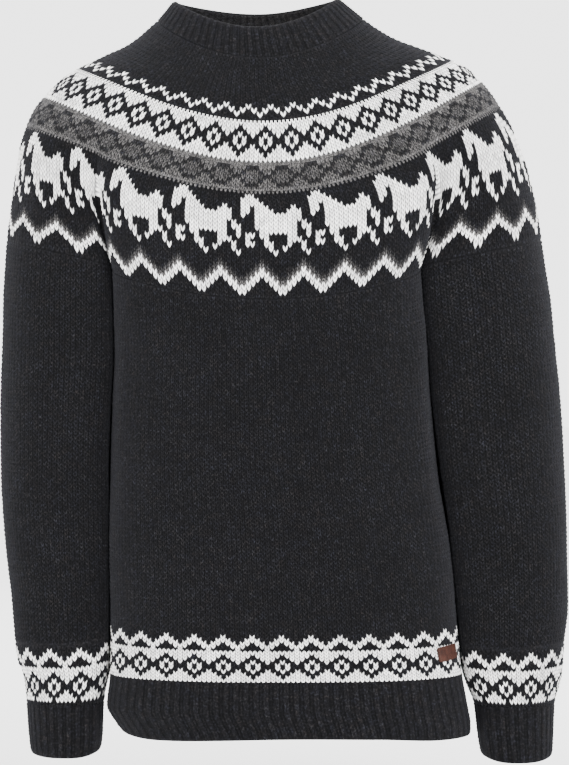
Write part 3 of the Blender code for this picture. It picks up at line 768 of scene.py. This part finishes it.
def knit(name, zones, inner, closed, finish, seams=(CHARCOAL_YARN,)):
    """A closed wall: stitch nets from the top down, an inside, and lips all round.

    Each zone is (places, shares, yarns, high); inner is (places, shares), and its yarns,
    heights and tones where its inside shows; seams are the yarns between the zones.
    """
    bm = bmesh.new()
    for value in POINT_VALUES:
        bm.verts.layers.float.new(value)
    for value in FACE_VALUES:
        bm.faces.layers.float.new(value)
    nets = []
    for places, shares, yarns, high in zones:
        tones = spread.random_sample((yarns.shape[0] // 2 + 1, yarns.shape[1] // 4 + 1))
        tones = spread_over_net(tones)[:yarns.shape[0], :yarns.shape[1]]
        nets.append(lay_grid(bm, places, shares, yarns, high, tones))
    plain = lay_grid(bm, *inner, inside=True)
    if closed:
        for net in nets + [plain]:
            bmesh.ops.weld_verts(bm, targetmap={line[-1]: line[0] for line in net})
            for line in net:
                line.pop()
    for upper, lower, yarn in zip(nets, nets[1:], seams):
        join(bm, upper[-1], lower[0], closed, yarn)
    lips = [(nets[0][0], plain[0]), (nets[-1][-1], plain[-1])]
    if not closed:
        for side in (0, -1):
            outside = [line[side] for net in nets for line in net]
            lips.append((outside, [line[side] for line in plain]))
    for outside, within in lips:
        join(bm, outside, within, closed)
        # A lip turns sharply, so that no shade runs over from it to the stitches
        for edge in edges_along(bm, outside, closed):
            edge.smooth = False
    piece = put_in_scene(bm, name)
    lay_flat(piece.data, closed)
    piece.data.shade_smooth()
    piece.data.materials.append(finish)
    return piece


def lay_flat(mesh, closed):
    """A flat layout of the piece: its outside above, its inside in a strip below."""
    values = []
    for layer in POINT_VALUES[:3]:
        values.append(np.empty(len(mesh.vertices), np.float32))
        mesh.attributes[layer].data.foreach_get("value", values[-1])
        mesh.attributes.remove(mesh.attributes[layer])
    corners = np.empty(len(mesh.loops), np.int32)
    mesh.loops.foreach_get("vertex_index", corners)
    starts = np.empty(len(mesh.polygons), np.int32)
    counts = np.empty(len(mesh.polygons), np.int32)
    mesh.polygons.foreach_get("loop_start", starts)
    mesh.polygons.foreach_get("loop_total", counts)
    face = np.repeat(np.arange(len(starts)), counts)
    u, v, w = (value[corners] for value in values)
    if closed:
        high = np.maximum.reduceat(u, starts)[face]
        low = np.minimum.reduceat(u, starts)[face]
        u = np.where((high - low > 0.5) & (u < 0.5), u + 1.0, u)
    share = np.add.reduceat(w, starts)[face] / counts[face]
    flat_u = LAYOUT_ACROSS[0] + LAYOUT_ACROSS[1] * u
    outside_v = LAYOUT_UP[0] + LAYOUT_UP[1] * v
    flat_v = np.where(share > 0.99, LAYOUT_INSIDE[0] + LAYOUT_INSIDE[1] * v, outside_v)
    lip = (share > 0.01) & (share < 0.99) & (w > 0.5)
    flat_v = np.where(lip & (v < 0.001), LIP_FOOT, flat_v)
    flat_v = np.where(lip & (v > 0.999), LIP_TOP, flat_v)
    if not closed:
        flat_u = np.where(lip & (u > 0.999), LIP_RIGHT, flat_u)
        flat_u = np.where(lip & (u < 0.001), LIP_LEFT, flat_u)
    layout = mesh.uv_layers.new(name="OFBake")
    layout.data.foreach_set("uv", np.stack([flat_u, flat_v], 1).astype(np.float32).ravel())


def shares_of(s, r, stitches, rows):
    """How far each point lies across and up its piece, with its ends exactly on 0 and 1."""
    shares = np.stack([s / stitches, 1 - np.clip(r / rows, 0, 1)], -1)
    shares[:, 0, 0], shares[:, -1, 0] = 0.0, 1.0
    return shares


# Wool and leather

# Colours of the yarns, of the hairs spun into the dark and the grey one, and of the
# white one between and on its plies
CHARCOAL, RIB_CHARCOAL = (0.0033, 0.0032, 0.0038), (0.0028, 0.0027, 0.0033)
MIXED, GREY, WHITE = (0.0068, 0.0066, 0.0070), (0.049, 0.047, 0.046), (0.90, 0.89, 0.87)
BROWN_HAIR, PALE_HAIR = (0.0140, 0.0117, 0.0107), (0.0140, 0.0137, 0.0148)
BLUE_HAIR = (0.0118, 0.0123, 0.0168)
CREAM_SHADE, CREAM = (0.78, 0.765, 0.745), (0.96, 0.95, 0.935)
# Colours of the label's leather and of its thread, from dark to worn
LEATHER = (0.017, 0.0050, 0.0030), (0.029, 0.0085, 0.0050), (0.042, 0.0140, 0.0085)
THREAD = (0.024, 0.009, 0.006), (0.060, 0.025, 0.016)


def set_sockets(made, sockets):
    for name, value in sockets.items():
        made.inputs[name.replace("_", " ")].default_value = value


def node(tree, kind, **sockets):
    made = tree.nodes.new(kind)
    set_sockets(made, sockets)
    return made


def new_material(name, **sockets):
    """A material, its nodes, and the place on a piece as its patterns read it."""
    made = bpy.data.materials.new(name)
    made.use_nodes = True
    tree = made.node_tree
    set_sockets(tree.nodes["Principled BSDF"], sockets)
    return made, tree, tree.nodes.new("ShaderNodeTexCoord").outputs["Object"]


def attribute(tree, name):
    made = tree.nodes.new("ShaderNodeAttribute")
    made.attribute_name = name
    return made.outputs["Fac"]


def even(level):
    """A colour with no hue."""
    return (level, level, level)


def ramp(tree, factor, *stops):
    """Colours by factor: each stop is a place from 0 to 1, and its colour."""
    made = tree.nodes.new("ShaderNodeValToRGB")
    while len(made.color_ramp.elements) < len(stops):
        made.color_ramp.elements.new(0.5)
    for element, (place, colour) in zip(made.color_ramp.elements, stops):
        element.position = place
        element.color = (*colour, 1)
    tree.links.new(factor, made.inputs[0])
    return made.outputs[0]


def mix(tree, kind, factor, one, two):
    made = tree.nodes.new("ShaderNodeMix")
    made.data_type = "RGBA"
    made.blend_type = kind
    for socket, value in ((0, factor), (6, one), (7, two)):
        if hasattr(value, "is_linked"):
            tree.links.new(value, made.inputs[socket])
        else:
            made.inputs[socket].default_value = value
    return made.outputs[2]


def noise(tree, place, scale, detail=2.0, rough=0.5):
    made = node(tree, "ShaderNodeTexNoise", Scale=scale, Detail=detail, Roughness=rough)
    tree.links.new(place, made.inputs["Vector"])
    return made.outputs["Fac"]


def paint(tree, colour):
    tree.links.new(colour, tree.nodes["Principled BSDF"].inputs["Base Color"])


def roughen(tree, height, strength, distance):
    bump = node(tree, "ShaderNodeBump", Strength=strength, Distance=distance)
    tree.links.new(height, bump.inputs["Height"])
    tree.links.new(bump.outputs["Normal"], tree.nodes["Principled BSDF"].inputs["Normal"])


def wool(name, dark=CHARCOAL, sheen=0.03):
    """Heathered wool: the yarn's colour by its number, flecks, lint, a soft nap, and painted
    shade in its grooves.
    """
    made, tree, place = new_material(
        name, Roughness=0.92, Specular_IOR_Level=0.08, Sheen_Weight=sheen,
        Sheen_Roughness=0.55, Sheen_Tint=(0.86, 0.88, 1.0, 1),
    )
    yarn = attribute(tree, "yarn")
    base = ramp(
        tree, yarn,
        (CHARCOAL_YARN, dark), (MIXED_YARN, MIXED), (GREY_YARN, GREY), (WHITE_YARN, WHITE),
    )
    # Pale, bluish and brown hairs spun into the dark and the grey yarn
    fleck = noise(tree, place, 520.0, 4.0, 0.72)
    pale = ramp(tree, fleck, (0.50, even(0)), (0.66, even(1)))
    hue = ramp(
        tree, noise(tree, place, 130.0), (0.36, BROWN_HAIR), (0.5, PALE_HAIR), (0.64, BLUE_HAIR)
    )
    hairs = mix(tree, "MIX", pale, (0, 0, 0, 1), hue)
    heather = mix(tree, "ADD", 1.0, base, hairs)
    # The grey yarn is spun from pale and dark hairs together
    salt = ramp(tree, noise(tree, place, 760.0, 3.0, 0.75), (0.42, even(0.36)), (0.58, even(2.1)))
    is_grey = ramp(tree, yarn, (0.1, even(0)), (0.3, even(1)), (0.7, even(1)), (0.75, even(0)))
    salted = mix(tree, "MULTIPLY", 1.0, heather, salt)
    heather = mix(tree, "MIX", is_grey, heather, salted)
    # White yarn keeps its colour: only the shade between its plies varies
    cream = ramp(tree, noise(tree, place, 640.0, 3.0, 0.6), (0.30, CREAM_SHADE), (0.60, CREAM))
    is_white = ramp(tree, yarn, (0.72, even(0)), (0.78, even(1)))
    colour = mix(tree, "MIX", is_white, heather, cream)
    # Painted shade darkens the colour in the grooves between the stitches' legs. Each stitch's
    # tone differs at random, and so do wider patches; inside the collar, the tone paints light.
    painted_groove_shade = ramp(
        tree, attribute(tree, "pile"), (0.0, (0.06, 0.06, 0.065)), (0.30, (0.36, 0.36, 0.37)),
        (0.60, even(0.98)), (0.95, even(1.10)),
    )
    shade = ramp(tree, attribute(tree, "tone"), (0.0, even(0.80)), (1.0, even(1.14)))
    wide = ramp(tree, noise(tree, place, 22.0, 3.0), (0.32, even(0.88)), (0.68, even(1.10)))
    for light in (painted_groove_shade, shade, wide):
        colour = mix(tree, "MULTIPLY", 1.0, colour, light)
    paint(tree, colour)
    roughen(tree, noise(tree, place, 1500.0, 3.0, 0.7), 0.55, 0.0007)
    return made


def leather():
    """Brown leather with worn patches and a fine grain."""
    made, tree, place = new_material("brown_leather", Roughness=0.62, Specular_IOR_Level=0.14)
    worn = noise(tree, place, 160.0, 4.0, 0.6)
    paint(tree, ramp(tree, worn, *zip((0.34, 0.52, 0.70), LEATHER)))
    grain = node(tree, "ShaderNodeTexVoronoi", Scale=1100.0)
    tree.links.new(place, grain.inputs["Vector"])
    roughen(tree, grain.outputs["Distance"], 0.5, 0.0004)
    return made


def thread():
    """Brown sewing thread, darker and lighter in fine random patches."""
    made, tree, place = new_material("label_thread", Roughness=0.7)
    paint(tree, ramp(tree, noise(tree, place, 1400.0), *zip((0.35, 0.65), THREAD)))
    return made


KNIT_WOOL = wool("charcoal_wool_knit")
YOKE_WOOL = wool("yoke_wool_knit")
RIB_WOOL = wool("charcoal_wool_rib", dark=RIB_CHARCOAL, sheen=0.02)


# Body

def between_sides(s, stitches, back):
    """Place of each stitch from side seam to side seam; the back runs the other way."""
    u = SIDE_GAP + (1 - 2 * SIDE_GAP) * s / stitches
    return 1 - u if back else u


def body_net(back):
    rows, stitches, plain_rows = BODY_ROWS, BODY_STITCHES, BODY_ROWS - BAND_ROWS
    s, r = stitch_lines(rows, stitches, (True, False))
    u = between_sides(s, stitches, back)
    top, low = top_of_body(u[0], back), hem_top(u[0])
    band = low + BAND_MIDDLE + (BAND_SIDE - BAND_MIDDLE) * np.abs(2 * u[0] - 1) ** 2.2
    z = np.where(
        r <= plain_rows,
        top + (band - top) * r / plain_rows,
        band + (low - band) * (r - plain_rows) / BAND_ROWS,
    )
    places = body_point(u, z, back)
    n = normals(places, False, [0])
    name = "body_back" if back else "body_front"
    sunk = fold_depth(name, u, z) - unevenness(places)
    base = places - n * sunk[..., None]
    relief, high = stitch_relief(rows, stitches, (EDGE_HIGH, 0.0))
    yarns = np.zeros((rows, stitches))
    peaks_end = plain_rows + len(PEAKS)
    yarns[plain_rows:peaks_end] = repeat_of(PEAKS, stitches, BODY_PEAK)
    yarns[peaks_end:] = repeat_of(DIAMONDS, stitches, BODY_PEAK)
    shares = shares_of(s, r, stitches, rows)
    plain = base - n * KNIT_DEPTH
    return knit(
        name + "_knit",
        [(base + n * relief[..., None], shares, spread_over_net(yarns), high)],
        (plain[::8, ::4], shares[::8, ::4]), False, KNIT_WOOL,
    )


# Yoke

def along_half(share, back):
    """Where a share of a half ring's stitches lies: they are closer by the right sleeve."""
    ends = ((0, 0.3107, 1), (0, 0.28, 1)) if back else ((0, 0.6893, 1), (0, 0.72, 1))
    return np.interp(share, *ends)


def hung(u, r):
    """Rows of the yoke as they hang: lower on the left shoulder, higher on the sleeves."""
    from_left = min(u, 1 - u)
    drop = 3.4 * max(0.0, 1 - from_left / 0.17) ** 1.2
    sleeve = np.interp(
        from_left, (0, 0.10, 0.14, 0.36, 0.40, 0.5), (-1.0, -1.0, 0, 0, -1.6, -1.8)
    )
    return np.interp(r, (0, 18, 35, 59, 61), (0, 18, 35 + drop, 59 + sleeve, 61))


def armhole_fold(v, r, back):
    """Depth of the soft fold that runs up the yoke from each armpit, v along its half."""
    crease = FOLD_BACK if back else FOLD_FRONT
    away = np.minimum(np.abs(v - crease), np.abs(0.5 - crease - v))
    ridge = RIDGE_SHARE * np.exp(-((away - RIDGE_AWAY) / RIDGE_WIDE) ** 2)
    trough = np.exp(-(away / FOLD_WIDE) ** 2) - ridge
    return FOLD_DEEP * trough * np.interp(r, FOLD_ROWS, (0, 1, 1, 0))


def along_ring(share, back):
    """u on a yoke ring for a share of its front, or back, half."""
    start = 0.5 if back else 0.0
    return start + SHOULDER_GAP + (0.5 - 2 * SHOULDER_GAP) * share


def worn(places, u, r, level, back):
    """The yoke's cloth as it is worn, soft and folded at the armpits, and its normals."""
    n = normals(places, False, level)
    fold = armhole_fold(u - 0.5 if back else u, r, back)
    return places + n * (unevenness(places) - fold)[..., None], n


def yoke_zone(back, zone, chart):
    """One zone of the yoke, between two rows where its stitch count changes."""
    first, last = zone[:2]
    rows, stitches = last - first, chart.shape[1]
    s, r = stitch_lines(rows, stitches, (True, True))
    r = first + YOKE_GAP + r * (rows - 2 * YOKE_GAP) / rows
    r = np.where(r > YOKE_ROWS - 0.1, YOKE_ROWS, np.clip(r, YOKE_GAP, YOKE_ROWS))
    u = along_ring(along_half(s[0] / stitches, back), back)
    places = np.empty(s.shape + (3,))
    rings = yoke_rings(u)
    for k in range(s.shape[1]):
        places[:, k] = smooth(column(YOKE, "row"), rings[:, k], hung(u[k], r[:, k]))
    base, n = worn(places, u, r, [-1] if last == YOKE_ROWS else [], back)
    ends = (SEAM_HIGH if first else EDGE_HIGH, EDGE_HIGH if last == YOKE_ROWS else SEAM_HIGH)
    relief, high = stitch_relief(rows, stitches, ends)
    faces = spread_over_net(chart)
    if first in TIPS:
        faces[0, 1::4] = faces[0, 2::4] = TIPS[first]
    return base + n * relief[..., None], shares_of(s, r, stitches, YOKE_ROWS), faces, high


def yoke_net(back):
    zones = [
        yoke_zone(back, zone, chart) for zone, chart in zip(YOKE_ZONES, yoke_charts(back))
    ]
    across, down = np.linspace(0, 1, 77), np.linspace(0, 1, 33)
    u = along_ring(across, back)
    r = np.linspace(YOKE_GAP, YOKE_ROWS - 0.03, 33)
    base, n = worn(yoke_point(u, r), u, r[:, None], [-1], back)
    shares = np.stack(np.meshgrid(across, 1 - down), -1)
    return knit(
        "yoke_back_knit" if back else "yoke_front_knit", zones,
        (base - n * KNIT_DEPTH, shares), False, YOKE_WOOL,
        seams=(CHARCOAL_YARN, GREY_YARN, GREY_YARN),
    )


def yoke_charts(back):
    """Yarn numbers of the yoke's four zones, from the neck down. The repeats run on round
    the ring, so the back's start where the front's stitches end."""
    grounds = (CHARCOAL_YARN, CHARCOAL_YARN, GREY_YARN, CHARCOAL_YARN)
    top, middle, rings, low = (
        np.full((last - first, behind if back else ahead), ground)
        for (first, last, ahead, behind), ground in zip(YOKE_ZONES, grounds)
    )
    past = [ahead if back else 0 for first, last, ahead, behind in YOKE_ZONES]
    top[14:17] = repeat_of(SMALL_ZIGZAG, top.shape[1], ZIGZAG_START - past[0])
    middle[:10] = repeat_of(DIAMONDS, middle.shape[1], DIAMOND_START - past[1])
    middle[10] = GREY_YARN
    rings[:5] = repeat_of(GREY_RINGS, rings.shape[1], RING_START - past[2])
    low[1:16] = repeat_of(HORSES, low.shape[1], HORSE_START - past[3])
    places = np.arange(low.shape[1]) + past[3] - BIG_START
    for stitch, sink in enumerate(np.array(BIG_ZIGZAG)[places % len(BIG_ZIGZAG)]):
        row = BIG_TOP + sink
        if low[row, stitch] == CHARCOAL_YARN:
            low[row, stitch] = SHADOW_YARN
        low[row + 1, stitch] = GREY_YARN
        low[row + 2:row + 4, stitch] = WHITE_YARN
    return top, middle, rings, low


# Sleeves

def sleeve_top(a, way):
    """Height of the seam between yoke and sleeve, as on the solid."""
    half = SLEEVE_ROUND / 2
    share = np.where(a < half, SLEEVE_SHARE, SLEEVE_SHARE_BACK)
    h = share * np.clip(np.abs(a - half) / half, 0, 1)
    if way < 0:
        ring_u = np.where(a < half, h / 2, 1 - h / 2)
    else:
        ring_u = np.where(a < half, 0.5 - h / 2, 0.5 + h / 2)
    top = ring_height(np.mod(ring_u, 1.0), YOKE, LAST_RING)
    inside = np.clip((a - SLEEVE_ROUND) / (1 - SLEEVE_ROUND), 0, 1)
    graft = crease_z(True) + (crease_z(False) - crease_z(True)) * inside
    return np.where(a > SLEEVE_ROUND, graft, top)


def around(s, stitches, flat_stitches):
    """Place round a sleeve or cuff: a few wide stitches lie on its flat inner side."""
    outer = stitches - flat_stitches
    return np.where(
        s <= outer,
        SLEEVE_ROUND * s / outer,
        SLEEVE_ROUND + (1 - SLEEVE_ROUND) * (s - outer) / flat_stitches,
    )


def side_lift(table, a, z, way, inner, outer, power):
    """How far an edge round a sleeve rises toward its inner and its outer side."""
    x = sleeve_point(table, a, z)[:, 0] * way
    across = 2 * (x - x.min()) / np.ptp(x) - 1
    return outer * np.clip(across, 0, 1) ** power + inner * np.clip(-across, 0, 1) ** power


def sleeve_net(side, table, way):
    name = "sleeve_" + side
    cuff = next(row[1] for row in CUFFS if row[0] == side)
    band = SLEEVE_BAND_TOP[side]
    zones, insides, inside_shares = [], [], []
    for first, rows, (stitches, flat), ends, inside_rows in (
        (0, SLEEVE_ROWS, SLEEVE_STITCHES, (EDGE_HIGH, SEAM_HIGH), SLEEVE_INSIDE),
        (SLEEVE_ROWS, CUFF_BAND_ROWS, CUFF_STITCHES[side], (SEAM_HIGH, 0.0), BAND_INSIDE),
    ):
        s, r = stitch_lines(rows, stitches, ends)
        a = around(s if way > 0 else stitches - s, stitches, flat)
        r = r * (rows - SLEEVE_GAP) / rows + (SLEEVE_GAP if first else 0.0)
        start, end = (band, cuff) if first else (sleeve_top(a[0], way), band)
        # The band above the cuff rises toward the sides, and the rows over it follow
        follow = np.clip((rows - r) / 1.4, 0, 1) if first else np.clip(r / rows, 0, 1) ** 3
        lift = side_lift(table, a[0], band, way, *BAND_LIFT[side], 2)
        z = start + (end - start) * r / rows + lift * follow
        places = sleeve_point(table, a, z)
        n = closed_normals(places, [] if first else [0])
        sunk = fold_depth(name, a, z) - unevenness(places)
        base = places - n * sunk[..., None]
        relief, high = stitch_relief(rows, stitches, ends)
        yarns = np.zeros((rows, stitches))
        if first:
            yarns[1:6] = repeat_of(PEAKS, stitches, CUFF_PEAK[side])
            yarns[6:15] = repeat_of(DIAMONDS[:9], stitches, CUFF_PEAK[side])
        shares = shares_of(s, first + r, stitches, SLEEVE_ROWS + CUFF_BAND_ROWS)
        zones.append((base + n * relief[..., None], shares, spread_over_net(yarns), high))
        # The inside has one column to each stitch of the sleeve's upper part
        columns = np.linspace(0, 4 * stitches, SLEEVE_STITCHES[0] + 1)
        kept = np.ix_(inside_rows, np.round(columns).astype(int))
        insides.append((base - n * KNIT_DEPTH)[kept])
        inside_shares.append(shares[kept])
    inner = np.concatenate(insides), np.concatenate(inside_shares)
    return knit(name + "_knit", zones, inner, True, KNIT_WOOL)


# Ribbed edges

def rib_lines(rows, ribs):
    """Column and row places of a rib net, whose ends both lie level."""
    s = np.append((np.arange(ribs)[:, None] + RIB_AT).ravel(), ribs)
    r = np.arange(2 * rows + 1) / 2.0
    slant = np.append(np.tile(RIB_SLANT, ribs), RIB_SLANT[0])
    return np.broadcast_to(s, (len(r), len(s))), r[:, None] + slant * kept_slant(r, (True, True))


def rib_relief(rows, ribs, rim_first=False):
    """Height of the ribs over the wall, rolled in at the edge that is cast off."""
    high = RIB_LEGS[np.arange(2 * rows + 1) % 2]
    high = np.concatenate([np.tile(high, (1, ribs)), high[:, :1]], 1)
    high = high * (1 + RIB_SPREAD * spread.standard_normal(high.shape))
    high[:, -1] = high[:, 0]
    relief = RIB_LOW + RIB_RISE * high
    middle = RIB_LOW + 0.5 * RIB_RISE
    relief[-1 if rim_first else 0] = RIB_LOW + 0.4 * RIB_RISE
    for from_edge, keep, drop in ((2, 0.8, 0.0), (1, 0.5, -0.15), (0, 0.12, -0.75)):
        at = from_edge if rim_first else -1 - from_edge
        relief[at] = middle + (relief[at] - middle) * keep + drop
    # The second value is the pile, by which the wool paints shade into the grooves between the
    # ribs
    return relief, np.clip(0.10 + 0.86 * high, 0, 1)


def ribbed(name, places, n, s, r, rows, ribs, closed):
    """A ribbed edge on the given places, with plain cloth inside."""
    base = places + n * unevenness(places)[..., None]
    relief, high = rib_relief(rows, ribs)
    shares = shares_of(s, r, ribs, rows)
    plain = base - n * RIB_DEPTH
    yarns = np.zeros((2 * rows, 6 * ribs))
    return knit(
        name, [(base + n * relief[..., None], shares, yarns, high)],
        (plain[::2, ::6], shares[::2, ::6]), closed, RIB_WOOL,
    )


def hem_net(back):
    rows, ribs = HEM_ROWS, HEM_RIBS // 2
    s, r = rib_lines(rows, ribs)
    u = between_sides(s, ribs, back)
    top = hem_top(u[0]) - SEAM_GAP / 2
    z = top + (look_up(HEM_EDGE, "z", u[0]) - top) * r / rows
    places = body_point(u, z, back)
    name = "hem_back_rib" if back else "hem_front_rib"
    return ribbed(name, places, normals(places, False, [0]), s, r, rows, ribs, False)


def cuff_net(side, table, way):
    top, end, lift_in, lift_out = next(row[1:] for row in CUFFS if row[0] == side)
    rows, ribs, flat = CUFF_ROWS, CUFF_RIBS, 3
    s, r = rib_lines(rows, ribs)
    a = around(s if way > 0 else ribs - s, ribs, flat)
    edge = end + side_lift(table, a[0], end, way, lift_in, lift_out, 3)
    z = (top - SEAM_GAP / 2) + (edge - top) * r / rows
    places = sleeve_point(table, a, z)
    name = "cuff_" + side + "_rib"
    return ribbed(name, places, closed_normals(places, [0]), s, r, rows, ribs, True)


def collar_net():
    rows, ribs = COLLAR_ROWS, COLLAR_RIBS
    s, r = rib_lines(rows, ribs)
    u = np.mod((s[0] - 0.5) / ribs, 1.0)
    share = 1.0 - 0.9995 * r / rows
    places = np.empty(s.shape + (3,))
    for phase in range(6):
        places[:, phase::6] = collar_point(u[phase::6], share[:, phase])
    n = closed_normals(places)
    # At its foot it stands square to the yoke that it is knitted on
    n_foot = normals(yoke_point(u[:-1], np.array([0.0, 1.0])), True)[0]
    n[-1] = np.concatenate([n_foot, n_foot[:1]])
    relief, high = rib_relief(rows, ribs, rim_first=True)
    shares = shares_of(s, r, ribs, rows)
    # The inside shows at the back of the neck, so it is ribbed too
    pick = np.arange(0, 6 * ribs + 1, 3)
    ridge = np.where(np.arange(len(pick)) % 2 == 1, 0.55, -0.55)
    plain = places[::2, pick] - n[::2, pick] * (COLLAR_DEPTH + ridge)[:, None]
    # Its pile sets the shade that the wool paints between the inside's ribs
    inside_high = np.broadcast_to(np.where(ridge > 0, 1.0, 0.35), plain.shape[:2])
    # Painted light: a paler yarn and tone than the charcoal, against the shade inside the collar
    inside_painted_light_yarns = np.full((rows, len(pick) - 1), INSIDE_PAINTED_LIGHT_YARN)
    inside_painted_light_tones = np.full((rows, len(pick) - 1), INSIDE_PAINTED_LIGHT_TONE)
    yarns = np.zeros((2 * rows, 6 * ribs))
    return knit(
        "collar_rib", [(places + n * relief[..., None], shares, yarns, high)],
        (plain, shares[::2, pick], inside_painted_light_yarns, inside_high, inside_painted_light_tones), True, RIB_WOOL,
    )


PIECES = [
    # piece, node that it stands for, flat width, length and area, how it is held, slot
    (collar_net(), "collar", 0.50, 0.034, 0.0162, "stretched", "charcoal_rib"),
    (yoke_net(False), "yoke_front", 0.66, 0.28, 0.1458, "hung", "yoke_knit"),
    (yoke_net(True), "yoke_back", 0.66, 0.28, 0.1456, "hung", "yoke_knit"),
    (body_net(False), "body_front", 0.48, 0.40, 0.1856, "hung", "charcoal_knit"),
    (body_net(True), "body_back", 0.48, 0.40, 0.1871, "hung", "charcoal_knit"),
    (hem_net(False), "hem_front", 0.48, 0.065, 0.0309, "stretched", "charcoal_rib"),
    (hem_net(True), "hem_back", 0.48, 0.065, 0.0300, "stretched", "charcoal_rib"),
    (sleeve_net("left", SLEEVE_LEFT, -1), "sleeve_left", 0.40, 0.44, 0.1629, "hung",
     "charcoal_knit"),
    (sleeve_net("right", SLEEVE_RIGHT, 1), "sleeve_right", 0.42, 0.44, 0.1762, "hung",
     "charcoal_knit"),
    (cuff_net("left", SLEEVE_LEFT, -1), "cuff_left", 0.25, 0.053, 0.0127, "stretched",
     "charcoal_rib"),
    (cuff_net("right", SLEEVE_RIGHT, 1), "cuff_right", 0.26, 0.055, 0.0139, "stretched",
     "charcoal_rib"),
]
for piece, solid, wide, tall, area, held, slot in PIECES:
    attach(piece, "root")
    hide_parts(solid)


# Leather label

# Its middle on the body, as u and z, and half the body's length round at that height
LABEL_MIDDLE, LABEL_HALF_BODY = (0.824, -585.0), 486.0
LABEL_WIDTH, LABEL_HEIGHT, LABEL_THICK, LABEL_TILT = 28.0, 14.5, 1.4, 0.12
# Height of its underside over the body's form, and of its stitches over the leather
LABEL_LIFT, THREAD_LIFT = 0.75, 0.05
# Stitches on each short end: how many, how far from the edge and apart, and their half size
SEWN, SEWN_IN, SEWN_STEP, SEWN_SIZE = 7, 1.6, 1.75, (0.28, 0.62, 0.26)


def on_label(s, t, lift):
    """A point of the label, s and t in millimetres from its middle, lift over the wool."""
    across = s * math.cos(LABEL_TILT) - t * math.sin(LABEL_TILT)
    rise = s * math.sin(LABEL_TILT) + t * math.cos(LABEL_TILT)
    u, z = LABEL_MIDDLE[0] + across / LABEL_HALF_BODY, LABEL_MIDDLE[1] + rise
    at = body_point(u, z, False)
    along = body_point(u + 1e-4, z, False) - body_point(u - 1e-4, z, False)
    down = body_point(u, z - 0.05, False) - body_point(u, z + 0.05, False)
    n = np.cross(down, along)
    n /= np.linalg.norm(n, axis=-1, keepdims=True)
    return at + n * (unevenness(at) + lift)[..., None]


def move_to(verts, spots):
    for vert, spot in zip(verts, (spots * MM).tolist()):
        vert.co = spot


def cut_leather(bm):
    """The tab, with softly rounded corners and edges skived thinner than its middle."""
    bmesh.ops.create_grid(bm, x_segments=28, y_segments=16, size=1.0)
    made = bmesh.ops.extrude_face_region(bm, geom=list(bm.faces))
    top = {g for g in made["geom"] if isinstance(g, bmesh.types.BMVert)}
    verts = list(bm.verts)
    s = np.array([v.co.x for v in verts])
    t = np.array([v.co.y for v in verts])
    over = np.array([v in top for v in verts])
    wide = LABEL_WIDTH / 2 * s * np.sqrt(1 - 0.10 * t ** 8)
    tall = LABEL_HEIGHT / 2 * t * np.sqrt(1 - 0.14 * s ** 8)
    thick = LABEL_THICK * (1 - 0.35 * np.maximum(np.abs(s), np.abs(t)) ** 10)
    move_to(verts, on_label(wide, tall, LABEL_LIFT + np.where(over, thick, 0.0)))
    bmesh.ops.recalc_face_normals(bm, faces=bm.faces)


def sew_stitch(bm, s, t):
    """One stitch of thread, a small bead on the leather."""
    bead = bmesh.ops.create_uvsphere(bm, u_segments=8, v_segments=6, radius=1.0)["verts"]
    local = np.array([v.co[:] for v in bead]) * SEWN_SIZE
    lift = LABEL_THICK + LABEL_LIFT + THREAD_LIFT + local[:, 2]
    move_to(bead, on_label(s + local[:, 0], t + local[:, 1], lift))
    for face in {f for v in bead for f in v.link_faces}:
        face.material_index = 1


def label_piece():
    bm = bmesh.new()
    cut_leather(bm)
    for side in (-1, 1):
        for k in range(SEWN):
            sew_stitch(bm, side * (LABEL_WIDTH / 2 - SEWN_IN), (k - SEWN // 2) * SEWN_STEP)
    piece = put_in_scene(bm, "leather_label")
    piece.data.shade_smooth()
    piece.data.set_sharp_from_angle(angle=math.radians(50))
    piece.data.materials.append(leather())
    piece.data.materials.append(thread())
    return piece


label = label_piece()
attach(label, "root")
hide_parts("label")
